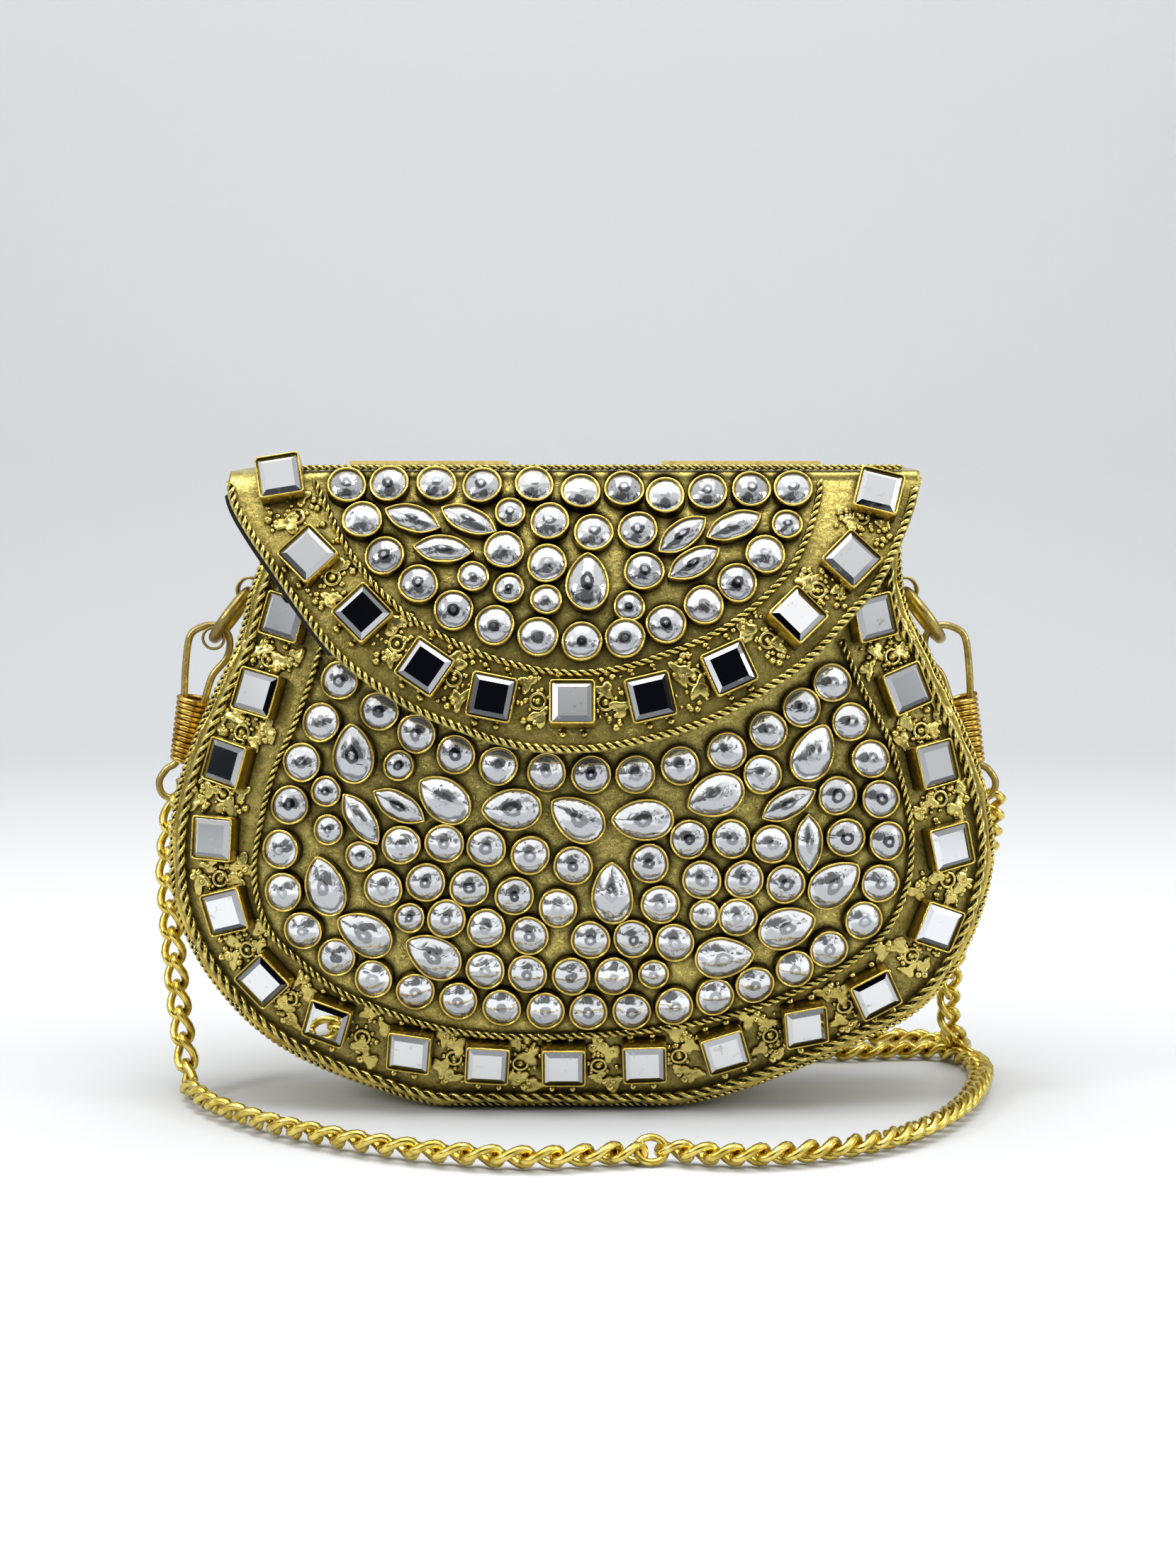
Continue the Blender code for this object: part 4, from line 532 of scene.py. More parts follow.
def antique_brass(name, bare, dark, marked=True, hammer=0.0, cells=0.0, crevice_shade_reach=0.0,
                  roughness=(0.26, 0.55)):
    """Brass sheet or wire dipped in a darkening bath and rubbed back.

    High places are bare and yellow, hollows keep the olive-brown film, as the mark on the points
    says; on the ground among the stones that mark also holds dirt and painted shadow at the cups'
    feet, and on the cups painted shadow on their lower walls. Fine noise breaks the film up, hammer
    adds the planished dents of hand-beaten sheet, cells the seams between the thin foils laid over
    the ground among the stones, and the reach of the crevices is the distance of an ambient
    occlusion lookup that darkens the colour: film kept in the crevices, and painted shade where
    neighbouring pieces shade each other.
    reach within which neighbouring pieces keep the film from being rubbed off.
    """
    material, tree, shader = new_material(name, Metallic=1.0)
    place = node(tree, "ShaderNodeTexCoord").outputs["Object"]
    fine = node(tree, "ShaderNodeTexNoise", {"Vector": place, "Scale": 900.0, "Detail": 5.0})
    broad = node(tree, "ShaderNodeTexNoise", {"Vector": place, "Scale": 130.0, "Detail": 3.0})
    worn_and_unshaded = spread(tree, broad.outputs["Fac"], 0.3, 0.7, 0.3, 1.0)
    if marked:
        mark = node(tree, "ShaderNodeAttribute", attribute_name="wear_and_shade").outputs["Fac"]
        worn_and_unshaded = math_node(tree, "MULTIPLY", mark,
                         spread(tree, broad.outputs["Fac"], 0.25, 0.6, 0.62, 1.0))
    worn_and_unshaded = math_node(tree, "MULTIPLY", worn_and_unshaded, spread(tree, fine.outputs["Fac"], 0.3, 0.55, 0.7, 1.0))
    height = fine.outputs["Fac"]
    # Painted shade: the ambient occlusion lookup darkens the colour where pieces shade each other,
    # along with the film kept in the crevices.
    if crevice_shade_reach:
        occlusion_shade = node(tree, "ShaderNodeAmbientOcclusion", {"Distance": crevice_shade_reach}, samples=2)
        worn_and_unshaded = math_node(tree, "MULTIPLY", worn_and_unshaded, spread(tree, occlusion_shade.outputs["AO"], 0.15, 0.85))
    if cells:
        warped = node(tree, "ShaderNodeMix", {0: 0.12}, data_type="VECTOR")
        tree.links.new(place, warped.inputs[4])
        stir = node(tree, "ShaderNodeTexNoise", {"Vector": place, "Scale": 160.0})
        tree.links.new(stir.outputs["Color"], warped.inputs[5])
        seam = node(tree, "ShaderNodeTexVoronoi", {"Vector": warped.outputs[1], "Scale": cells},
                    feature="DISTANCE_TO_EDGE")
        edge = spread(tree, seam.outputs["Distance"], 0.0, 0.05, 0.3, 1.0)
        foil = node(tree, "ShaderNodeTexVoronoi", {"Vector": warped.outputs[1], "Scale": cells})
        lot = node(tree, "ShaderNodeSeparateXYZ", {0: foil.outputs["Color"]})
        worn_and_unshaded = math_node(tree, "MULTIPLY", worn_and_unshaded, edge)
        worn_and_unshaded = math_node(tree, "MULTIPLY", worn_and_unshaded, spread(tree, lot.outputs["X"], 0.0, 0.8, 0.6, 1.0))
        step = math_node(tree, "MULTIPLY", lot.outputs["Y"], 1.5)
        height = math_node(tree, "ADD", height, math_node(tree, "MULTIPLY", edge, 1.6))
        height = math_node(tree, "ADD", height, step)
    if hammer:
        dents = node(tree, "ShaderNodeTexVoronoi", {"Vector": place, "Scale": hammer,
                                                    "Smoothness": 0.9}, feature="SMOOTH_F1")
        height = math_node(tree, "ADD", height,
                           math_node(tree, "MULTIPLY", dents.outputs["Distance"], 4.0))
    link(tree, mix(tree, worn_and_unshaded, linear(dark), linear(bare)), shader, "Base Color")
    link(tree, spread(tree, worn_and_unshaded, 0.0, 1.0, roughness[1], roughness[0]), shader, "Roughness")
    bump = node(tree, "ShaderNodeBump", {"Height": height, "Strength": 0.5, "Distance": 0.0003})
    link(tree, bump.outputs["Normal"], shader, "Normal")
    return material


def foil_stone(name):
    """Clear cabochon over crumpled silver foil: bright and glassy, with grey crumples.

    The foil under the glass is creased and specked where its silver has lifted, and the smooth
    coat is the glass's own surface over it. Painted reflections are laid out on the stone's UV
    disc: a grey lower half, a grey arc near the lower rim, and a dark middle ring round a bright
    painted highlight dot. Each stone's shade mark is a painted reflection too: it greys the whole
    stone and darkens its middle.
    """
    material, tree, shader = new_material(name, Metallic=0.85, Roughness=0.07, Coat_Weight=1.0,
                                          Coat_Roughness=0.02, Coat_IOR=1.5)
    lay = node(tree, "ShaderNodeTexCoord")
    place = lay.outputs["Object"]
    shade = node(tree, "ShaderNodeAttribute", attribute_name="shade").outputs["Fac"]
    specks = node(tree, "ShaderNodeTexNoise", {"Vector": place, "Scale": 900.0, "Detail": 4.0})
    crumple = node(tree, "ShaderNodeTexNoise", {"Vector": place, "Scale": 260.0, "Detail": 2.0,
                                                "Distortion": 0.8})
    lifted = spread(tree, specks.outputs["Fac"], 0.66, 0.72)
    disc = node(tree, "ShaderNodeVectorMath", {0: lay.outputs["UV"], 1: (0.5, 0.5, 0.0)},
                operation="SUBTRACT")
    far = node(tree, "ShaderNodeVectorMath", {0: disc.outputs[0]}, operation="LENGTH").outputs["Value"]
    far = math_node(tree, "ADD", far, spread(tree, crumple.outputs["Fac"], 0.3, 0.7, -0.05, 0.05))
    low = node(tree, "ShaderNodeSeparateXYZ", {0: disc.outputs[0]}).outputs["Y"]
    low = math_node(tree, "ADD", low, spread(tree, crumple.outputs["Fac"], 0.3, 0.7, -0.08, 0.08))
    # Painted reflections: a grey lower half and a grey arc near the lower rim.
    painted_lower_reflection = math_node(tree, "MULTIPLY", spread(tree, low, 0.04, -0.06, 0.0, 0.5),
                     spread(tree, far, 0.47, 0.4))
    arc = math_node(tree, "MULTIPLY", spread(tree, far, 0.33, 0.39), spread(tree, far, 0.47, 0.43))
    arc = math_node(tree, "MULTIPLY", arc, spread(tree, low, -0.12, -0.24, 0.0, 0.85))
    painted_lower_reflection = math_node(tree, "MAXIMUM", painted_lower_reflection, arc)
    # Painted reflection: a dark middle ring round a bright painted highlight dot, darker on greyer
    # stones.
    painted_dark_middle = math_node(tree, "MULTIPLY", spread(tree, far, 0.2, 0.16, 0.0, 1.0),
                     spread(tree, shade, 0.0, 0.5, 0.55, 1.0))
    painted_dark_middle = math_node(tree, "MULTIPLY", painted_dark_middle, spread(tree, far, 0.03, 0.07))
    grey = math_node(tree, "MAXIMUM", math_node(tree, "MAXIMUM", painted_lower_reflection, painted_dark_middle),
                     math_node(tree, "MULTIPLY", shade, 0.75))
    silver = mix(tree, grey, linear("#F6F8FA"), linear("#34383E"))
    link(tree, mix(tree, lifted, silver, linear("#4A463E")), shader, "Base Color")
    bump = node(tree, "ShaderNodeBump", {"Height": crumple.outputs["Fac"], "Strength": 0.4,
                                         "Distance": 0.0009})
    link(tree, bump.outputs["Normal"], shader, "Normal")
    return material


def mirror_glass(name):
    """Silvered plate glass with a ground bevel: a sharp mirror whose bevels and table are greyed by
    painted reflections, one grey per face.
    """
    material, tree, shader = new_material(name, Metallic=1.0, Roughness=0.02, Coat_Weight=0.6,
                                          Coat_Roughness=0.01)
    place = node(tree, "ShaderNodeTexCoord").outputs["Object"]
    shade = node(tree, "ShaderNodeAttribute", attribute_name="shade").outputs["Fac"]
    haze = node(tree, "ShaderNodeTexNoise", {"Vector": place, "Scale": 500.0, "Detail": 5.0})
    # Painted reflections: each bevel and table face gets its own grey.
    base = mix(tree, shade, linear("#F2F4F6"), linear("#4B4F54"))
    smear = spread(tree, haze.outputs["Fac"], 0.62, 0.75)
    link(tree, mix(tree, smear, base, linear("#B9B6AC")), shader, "Base Color")
    link(tree, spread(tree, haze.outputs["Fac"], 0.5, 0.8, 0.015, 0.09), shader, "Roughness")
    return material


def plated_gold(name, bright, dark, roughness=(0.32, 0.17)):
    """Thin bright gold plating over drawn wire: smooth, with a few dull spots."""
    material, tree, shader = new_material(name, Metallic=1.0)
    place = node(tree, "ShaderNodeTexCoord").outputs["Object"]
    dull = node(tree, "ShaderNodeTexNoise", {"Vector": place, "Scale": 420.0, "Detail": 4.0})
    share = spread(tree, dull.outputs["Fac"], 0.35, 0.6)
    link(tree, mix(tree, share, linear(dark), linear(bright)), shader, "Base Color")
    link(tree, spread(tree, share, 0.0, 1.0, *roughness), shader, "Roughness")
    bump = node(tree, "ShaderNodeBump", {"Height": dull.outputs["Fac"], "Strength": 0.15,
                                         "Distance": 0.0002})
    link(tree, bump.outputs["Normal"], shader, "Normal")
    return material


def velvet(name):
    """Short black cotton velvet: a dark pile whose sheen catches light at grazing angles."""
    material, tree, shader = new_material(name, Roughness=0.95, Sheen_Weight=0.7,
                                          Sheen_Roughness=0.35)
    place = node(tree, "ShaderNodeTexCoord").outputs["Object"]
    pile = node(tree, "ShaderNodeTexNoise", {"Vector": place, "Scale": 2600.0, "Detail": 2.0})
    laid = node(tree, "ShaderNodeTexNoise", {"Vector": place, "Scale": 60.0, "Detail": 2.0})
    share = math_node(tree, "MULTIPLY", pile.outputs["Fac"], laid.outputs["Fac"])
    link(tree, mix(tree, share, linear("#07070A"), linear("#1C1B20")), shader, "Base Color")
    bump = node(tree, "ShaderNodeBump", {"Height": pile.outputs["Fac"], "Strength": 0.5,
                                         "Distance": 0.0004})
    link(tree, bump.outputs["Normal"], shader, "Normal")
    return material


def plain_steel(name):
    """Turned steel: grey, faintly scratched."""
    material, tree, shader = new_material(name, Metallic=1.0)
    place = node(tree, "ShaderNodeTexCoord").outputs["Object"]
    lines = node(tree, "ShaderNodeTexNoise", {"Vector": place, "Scale": 1500.0, "Detail": 3.0})
    grey = mix(tree, lines.outputs["Fac"], linear("#8D8E90"), linear("#C5C6C8"))
    link(tree, grey, shader, "Base Color")
    link(tree, spread(tree, lines.outputs["Fac"], 0.3, 0.7, 0.25, 0.42), shader, "Roughness")
    return material


def make_materials():
    return {
        "sheet": antique_brass("brass_sheet_beaten", "#D8C262", "#4A3C14", hammer=230.0),
        "ground": antique_brass("brass_ground_among_stones", "#E8D478", "#1C1504", cells=330.0,
                                crevice_shade_reach=0.0022, roughness=(0.24, 0.5)),
        "wire": antique_brass("brass_wire_twisted", "#EAD676", "#1A1404", crevice_shade_reach=0.0008,
                              roughness=(0.13, 0.4)),
        "grain": antique_brass("brass_granules_soldered", "#EEDC84", "#2C2208", crevice_shade_reach=0.0008,
                               roughness=(0.12, 0.4)),
        "leaf": antique_brass("brass_foil_leaves", "#E4D27A", "#4A3C14", hammer=420.0,
                              crevice_shade_reach=0.0008, roughness=(0.22, 0.45)),
        "fitting": antique_brass("brass_fittings_cast", "#BBA764", "#5A4A24", marked=False),
        "hinge": plated_gold("brass_hinge_rubbed_bright", "#F0E0A0", "#D0BC78",
                             roughness=(0.7, 0.55)),
        "cup": antique_brass("brass_cups_polished", "#EECE66", "#33260A", crevice_shade_reach=0.0012,
                             roughness=(0.15, 0.36)),
        "sleeve": plated_gold("coil_wire_orange_brass", "#D8B254", "#8A6824"),
        "chain": plated_gold("chain_gold_plating", "#ECD670", "#B89A3A"),
        "stone": foil_stone("crystal_over_silver_foil"),
        "mirror": mirror_glass("mirror_bevelled"),
        "velvet": velvet("velvet_black_short_pile"),
        "steel": plain_steel("steel_turned"),
    }


# Stones

def round_outline(radius, sides=28):
    a = np.arange(sides) * 2 * math.pi / sides
    return np.stack([np.cos(a), np.sin(a)], 1) * radius


def drop_outline():
    """A drop with its tip at +X: x = cos t, y = sin t |sin(t / 2)|^0.35."""
    t = np.linspace(0, 2 * math.pi, 40, endpoint=False)
    return np.stack([DROP_LENGTH / 2 * np.cos(t),
                     DROP_WIDTH / 1.79 * np.sin(t) * np.abs(np.sin(t / 2))**0.35], 1)


def marquise_outline():
    """A boat: y = w (1 - |x|^2.5) between its tips."""
    x = np.concatenate([np.linspace(1, -1, 18, endpoint=False), np.linspace(-1, 1, 18, endpoint=False)])
    side = np.repeat([1.0, -1.0], 18)
    return np.stack([MARQUISE_LENGTH / 2 * x, side * MARQUISE_WIDTH / 2 * (1 - np.abs(x)**2.5)], 1)


def square_outline(across, corner, steps=4):
    """A square with rounded corners."""
    a = np.linspace(0, math.pi / 2, steps)
    arc = np.stack([np.cos(a), np.sin(a)], 1) * corner + (across / 2 - corner)
    turns = [np.array([[math.cos(t), math.sin(t)], [-math.sin(t), math.cos(t)]])
             for t in (0, math.pi / 2, math.pi, 1.5 * math.pi)]
    return np.vstack([arc @ turn for turn in turns])


CUP_RINGS = ((0.0, -CUP_FOOT), (0.0, 0.4), (-0.04, 1.3), (0.0, CUP_RISE - 0.35),
             (0.08, CUP_RISE - 0.06), (0.24, CUP_RISE + 0.1), (0.42, CUP_RISE + 0.04),
             (0.58, CUP_RISE - 0.16), (0.62, CUP_RISE - 0.75))
# Bare share per cup ring: rubbed bright at the rim, film in the low places, and painted shadow on the
# lower wall and foot.
CUP_WEAR_AND_SHADE = (0.0, 0.0, 0.05, 0.4, 0.95, 1.0, 1.0, 0.6, 0.0)
STONE_INSET = 0.6


def set_stones(surface, kinds, rng, irregular):
    """Cups and stones of all kinds on a surface: (cup shape, bare share of each cup point with its
    painted shadow), (stone shape, uv, painted reflection grey).
    """
    cups, wears_and_shades, stones, uvs, shades = [], [], [], [], []
    for places, outline, rise in kinds:
        places = np.array([tuple(p) + (0.0,) * (3 - len(p)) for p in places])
        count, around = len(places), len(outline)
        foot, normal, across, up = seats(surface, places)
        tilt = rng.normal(0.0, irregular * 0.035, (count, 2))
        normal = unit(normal + tilt[:, :1] * across + tilt[:, 1:] * up)
        up = unit(np.cross(normal, across))
        across = np.cross(up, normal)
        foot = foot + normal * rng.uniform(-0.12, 0.12, (count, 1))
        seat = (foot, normal, across, up)
        angle = np.arctan2(outline[:, 1], outline[:, 0])
        phase = rng.uniform(0, 2 * math.pi, (count, 2, 1))
        wobble = 1 + irregular * (0.018 * np.cos(2 * angle + phase[:, 0])
                                  + 0.012 * np.cos(3 * angle + phase[:, 1]))
        template = rings_template(outline, CUP_RINGS)
        template = np.broadcast_to(template, (count,) + template.shape).copy()
        template[..., :2] *= np.tile(wobble, (1, len(CUP_RINGS)))[..., None]
        turn = places[:, 2]
        cups.append(copies(template, [grid(len(CUP_RINGS), around, closed=True)], seat, turn))
        wears_and_shades.append(np.tile(np.repeat(CUP_WEAR_AND_SHADE, around), count))

        shares = np.array([1.0, 0.96, 0.86, 0.7, 0.5, 0.28])
        heights = CUP_RISE - 0.5 + rise * (1 - shares**2.2)
        far = np.linalg.norm(outline, axis=1, keepdims=True)
        inner = outline * (1 - np.minimum(STONE_INSET / far, 0.9))
        dome_rings = [np.column_stack([inner * s, np.full(around, h)])
                      for s, h in zip(shares, heights)]
        crown = np.vstack(dome_rings + [[[0.0, 0.0, CUP_RISE - 0.5 + rise]]])
        crown = np.broadcast_to(crown, (count,) + crown.shape).copy()
        crown[:, :-1, :2] *= np.tile(wobble, (1, len(shares)))[..., None]
        faces = [grid(len(shares), around, closed=True),
                 fan((len(shares) - 1) * around, around, len(shares) * around)]
        stones.append(copies(crown, faces, seat, turn))
        bearing = angle + np.radians(turn)[:, None]
        disc = np.stack([np.cos(bearing), np.sin(bearing)], -1)[:, None] * shares[:, None, None]
        disc = np.concatenate([disc.reshape(count, -1, 2), np.zeros((count, 1, 2))], axis=1)
        uvs.append(disc.reshape(-1, 2) * 0.5 + 0.5)
        # Painted reflection: each stone is greyed at random, the more so the higher it sits.
        high = np.clip(places[:, 1] / FLAP_TOP, 0.0, 1.0)
        shades.append(np.repeat(rng.uniform(0.0, 0.9, count) * (0.35 + 0.65 * high), disc.shape[1]))
    return joined(*cups), np.concatenate(wears_and_shades), joined(*stones), np.vstack(uvs), np.concatenate(shades)


def kinds_of(rounds, small_rounds, drops, marquises):
    return [(rounds, round_outline(ROUND_ACROSS / 2), 1.35),
            (small_rounds, round_outline(SMALL_ROUND_ACROSS / 2), 1.1),
            (drops, drop_outline(), 1.6), (marquises, marquise_outline(), 1.25)]


MIRROR_RINGS = ((0.0, -CUP_FOOT), (0.0, 0.6), (-0.06, 2.2), (0.0, MIRROR_CUP_RISE - 0.3),
                (0.12, MIRROR_CUP_RISE), (0.36, MIRROR_CUP_RISE + 0.04),
                (0.5, MIRROR_CUP_RISE - 0.1), (0.52, MIRROR_CUP_RISE - 0.7))
MIRROR_WEAR = (0.0, 0.15, 0.55, 0.9, 1.0, 1.0, 0.8, 0.2)


def set_mirrors(surface, places, tips, table_painted_reflections, rng):
    """Square cups, and in each a bevelled mirror: a low wall, four bevels and the table."""
    places = np.array(places)
    count = len(places)
    foot, normal, across, up = seats(surface, places)
    tips = np.radians(np.array(tips))
    tipped = unit(normal + tips[:, :1] * across + tips[:, 1:] * up)
    up = unit(np.cross(tipped, across))
    across = np.cross(up, tipped)
    seat = (foot, tipped, across, up)
    outline = square_outline(MIRROR_CUP, 0.7)
    template = rings_template(outline, MIRROR_RINGS)
    cups = copies(template, [grid(len(MIRROR_RINGS), len(outline), closed=True)], seat, places[:, 2])
    wear_and_shade = np.tile(np.repeat(MIRROR_WEAR, len(outline)), count)

    half = MIRROR_CUP / 2 - 0.5
    table = half - MIRROR_CHAMFER
    low, high = MIRROR_CUP_RISE - 0.55, MIRROR_CUP_RISE + 0.1
    corners = np.array([(1, -1), (1, 1), (-1, 1), (-1, -1)], float)
    rim = np.column_stack([corners * half, np.full(4, low)])
    top = np.column_stack([corners * table, np.full(4, high)])
    bevels = np.vstack([np.array([rim[k], rim[(k + 1) % 4], top[(k + 1) % 4], top[k]])
                        for k in range(4)])
    glass = np.vstack([bevels, top])
    faces = [np.arange(20).reshape(5, 4)]
    glasses = copies(glass, faces, seat, places[:, 2])
    # Painted reflections: a grey for each bevel, and the listed grey of each table.
    bevels = np.array([0.55, 0.7, 0.25, 0.95]) + rng.uniform(-0.15, 0.15, (count, 4))
    shade = np.repeat(np.column_stack([bevels, table_painted_reflections]), 4, axis=1)
    return cups, wear_and_shade, glasses, shade.ravel()


# Border ornaments

BORDER_HALF = 6.4                   # loose granules lie this far inward and outward
LOOSE_GRAINS = 12                   # in each gap between mirrors

GRAIN_TEMPLATE = rings_template(round_outline(1.0, 8), ((0.02, -0.3), (0.0, 0.35), (0.22, 0.85),
                                                        (0.62, 1.22)))
GRAIN_TEMPLATE = np.vstack([GRAIN_TEMPLATE, [[0.0, 0.0, 1.36]]])
GRAIN_FACES = [grid(4, 8, closed=True), fan(24, 8, 32)]
GRAIN_WEAR = np.concatenate([np.repeat((0.0, 0.45, 0.9, 1.0), 8), [1.0]])


def gap_places(mirrors):
    """Middles, directions and gaps between neighbouring mirrors of a border, in its plane."""
    places = np.array(mirrors)[:, :2]
    middle = (places[1:] + places[:-1]) / 2
    step = places[1:] - places[:-1]
    along = unit(step)
    inward = np.stack([-along[:, 1], along[:, 0]], 1)
    return middle, along, inward, np.linalg.norm(step, axis=1)


def border_grains(mirrors, rng):
    """Places and sizes of the soldered balls: a sprig in each gap and two on each side of a mirror."""
    middle, along, inward, gap = gap_places(mirrors)
    sprig = np.array([(0.0, 6.3, 0.95), (-1.05, 4.9, 0.8), (1.05, 4.9, 0.8), (0.0, 3.9, 0.6),
                      (0.0, -6.3, 0.98), (-1.1, -4.9, 0.82), (1.1, -4.9, 0.82), (0.0, -3.9, 0.6)])
    lean = rng.normal(0, 0.5, (len(middle), 1))
    u = sprig[None, :, 0] + lean * np.sign(sprig[:, 1]) + rng.normal(0, 0.15, (len(middle), 8))
    v = sprig[None, :, 1] + rng.normal(0, 0.25, (len(middle), 8))
    places = (middle[:, None] + u[..., None] * along[:, None] + v[..., None] * inward[:, None])
    sizes = np.broadcast_to(sprig[:, 2], u.shape) * rng.uniform(0.88, 1.12, u.shape)
    side = np.array([(-2.5, 6.5, 0.85), (2.5, 6.5, 0.85), (-2.5, 5.5, 0.5), (2.5, 5.5, 0.5),
                     (-2.4, -6.6, 0.88), (2.4, -6.6, 0.88), (-2.4, -5.5, 0.52), (2.4, -5.5, 0.52)])
    square = np.array(mirrors)
    turn = np.radians(square[:, 2])[:, None]
    su = side[None, :, 0] + np.repeat(rng.normal(0, 0.45, (len(square), 4)), 2, axis=1)
    sv = np.broadcast_to(side[:, 1], su.shape)
    beside = square[:, None, :2] + np.stack([su * np.cos(turn) - sv * np.sin(turn),
                                             su * np.sin(turn) + sv * np.cos(turn)], -1)
    beside_sizes = np.broadcast_to(side[:, 2], su.shape) * rng.uniform(0.85, 1.1, su.shape)
    return (np.vstack([places.reshape(-1, 2), beside.reshape(-1, 2)]),
            np.concatenate([sizes.ravel(), beside_sizes.ravel()]))


def ring_template(radius, wire, around=18, sides=6):
    """A little closed ring of wire lying flat."""
    a = np.arange(around) * 2 * math.pi / around
    path = np.stack([radius * np.cos(a), radius * np.sin(a), np.full(around, wire)], 1)
    return tube(path, wire, sides, closed=True, reference=(0.0, 0.0, 1.0))


def add_ornaments(name, surface, mirrors, body, materials, rng, spots):
    """Balls, wire rosettes and lobed leaves of sheet soldered on the border between mirrors."""
    places, sizes = border_grains(mirrors, rng)
    middle, along, inward, gap = gap_places(mirrors)
    reach = np.stack([(gap - MIRROR_CUP - 0.3) / 2, np.full(len(gap), BORDER_HALF)], 1)
    loose = rng.uniform(-1.0, 1.0, (len(middle), LOOSE_GRAINS, 2)) * reach[:, None]
    loose = (middle[:, None] + loose[..., :1] * along[:, None] + loose[..., 1:] * inward[:, None])
    places = np.vstack([places, loose.reshape(-1, 2)])
    sizes = np.concatenate([sizes * 1.12, rng.uniform(0.5, 0.85, LOOSE_GRAINS * len(middle))])
    seat = frames(surface, places[:, 0], places[:, 1])
    grains = copies(GRAIN_TEMPLATE, GRAIN_FACES, seat, size=sizes)
    wear_and_shade = [np.tile(GRAIN_WEAR, len(places))]
    turn = np.degrees(np.arctan2(along[:, 1], along[:, 0]))
    aside = rng.choice([-1.0, 1.0], len(middle)) * np.clip((gap - 13.5) / 2, 0.0, 1.3)
    heart = middle + aside[:, None] * along + rng.normal(0, 0.4, (len(middle), 1)) * inward
    ring_seat = frames(surface, heart[:, 0], heart[:, 1])
    ring_points, ring_faces = ring_template(1.75, 0.42)
    rings = copies(ring_points, ring_faces, ring_seat)
    wear_and_shade.append(np.tile(np.clip(ring_points[:, 2] / 0.84, 0.0, 1.0)**0.7, len(middle)))
    a = np.linspace(0, 2 * math.pi, 8)[:-1] + 0.3
    petals = heart[:, None] + 2.75 * np.stack([np.cos(a), np.sin(a)], 1)[None] * [0.9, 1.0]
    petals = np.concatenate([petals, heart[:, None]], axis=1).reshape(-1, 2)
    petal_seat = frames(surface, petals[:, 0], petals[:, 1])
    petal_sizes = (np.tile(np.array([0.66] * 7 + [1.0]), len(middle))
                   * rng.uniform(0.85, 1.1, len(petals)))
    balls = copies(GRAIN_TEMPLATE, GRAIN_FACES, petal_seat, size=petal_sizes)
    wear_and_shade.append(np.tile(GRAIN_WEAR, len(petals)))
    points, faces = joined(grains, rings, balls)
    add_piece(name + "_granules", points, faces, materials["grain"], body,
              marks={"wear_and_shade": np.concatenate(wear_and_shade)})

    spots = np.array(spots)
    each = len(spots)
    count = each * len(middle)
    offset = spots[None] * np.where(aside >= 0, -1.0, 1.0)[:, None, None]
    offset = offset + rng.normal(0, 0.55, (len(middle), each, 2))
    laid = (middle[:, None] + offset[..., :1] * along[:, None]
            + offset[..., 1:] * inward[:, None]).reshape(-1, 2)
    leaf_seat = frames(surface, laid[:, 0], laid[:, 1])
    a = np.arange(26) * 2 * math.pi / 26
    lobes = (1 + rng.uniform(0.2, 0.4, (count, 1)) * np.cos(3 * a + rng.uniform(0, 6.3, (count, 1)))
             + rng.uniform(0.08, 0.2, (count, 1)) * np.cos(5 * a + rng.uniform(0, 6.3, (count, 1))))
    base = np.stack([np.cos(a) * 2.4, np.sin(a) * 1.9], 1) * rng.uniform(0.8, 1.2, (count, 1, 1))
    rows = ((1.0, -0.3), (1.0, 0.5), (0.93, 0.78), (0.6, 0.84), (0.3, 0.78))
    leaf = np.concatenate([np.concatenate([base * lobes[..., None] * s,
                                           np.full((count, 26, 1), h)], -1) for s, h in rows], axis=1)
    leaf = np.concatenate([leaf, np.tile([[[0.0, 0.0, 0.74]]], (count, 1, 1))], axis=1)
    points, faces = copies(leaf, [grid(5, 26, closed=True), fan(104, 26, 130)], leaf_seat,
                           np.repeat(turn, each) + rng.uniform(-90, 90, count))
    wear_and_shade = np.tile(np.concatenate([np.repeat((0.3, 0.6, 1.0, 0.95, 0.9), 26), [0.9]]), count)
    add_piece(name + "_leaves", points, faces, materials["leaf"], body, marks={"wear_and_shade": wear_and_shade})


def within(points, outline):
    """Which places lie inside a closed outline, by counting the edges that a ray to +X crosses."""
    inside = np.zeros(len(points), bool)
    for (x0, z0), (x1, z1) in zip(outline, np.roll(outline, -1, axis=0)):
        crosses = (z0 > points[:, 1]) != (z1 > points[:, 1])
        at = x0 + (points[:, 1] - z0) * (x1 - x0) / (z1 - z0 if z1 != z0 else 1e-9)
        inside ^= crosses & (points[:, 0] < at)
    return inside


def dirt_and_shadow_near(points, stones):
    """How far the ground is from dirt and painted contact shadow: 0 at a cup's foot, 1 from 1.3 mm away
    from every cup.
    """
    clear_of_dirt_and_shadow = np.ones(len(points))
    for places, radius in stones:
        for x, z in np.array([p[:2] for p in places]):
            far = np.hypot(points[:, 0] - x, points[:, 2] - z) - radius
            clear_of_dirt_and_shadow = np.minimum(clear_of_dirt_and_shadow, np.clip((far + 0.2) / 1.5, 0.0, 1.0))
    return clear_of_dirt_and_shadow


# Groups of pieces

# Radii of the cups' feet: rounds, small rounds, drops, marquises, mirrors
FOOT_RADII = (ROUND_ACROSS / 2, SMALL_ROUND_ACROSS / 2, 4.6, 3.2, 4.9)

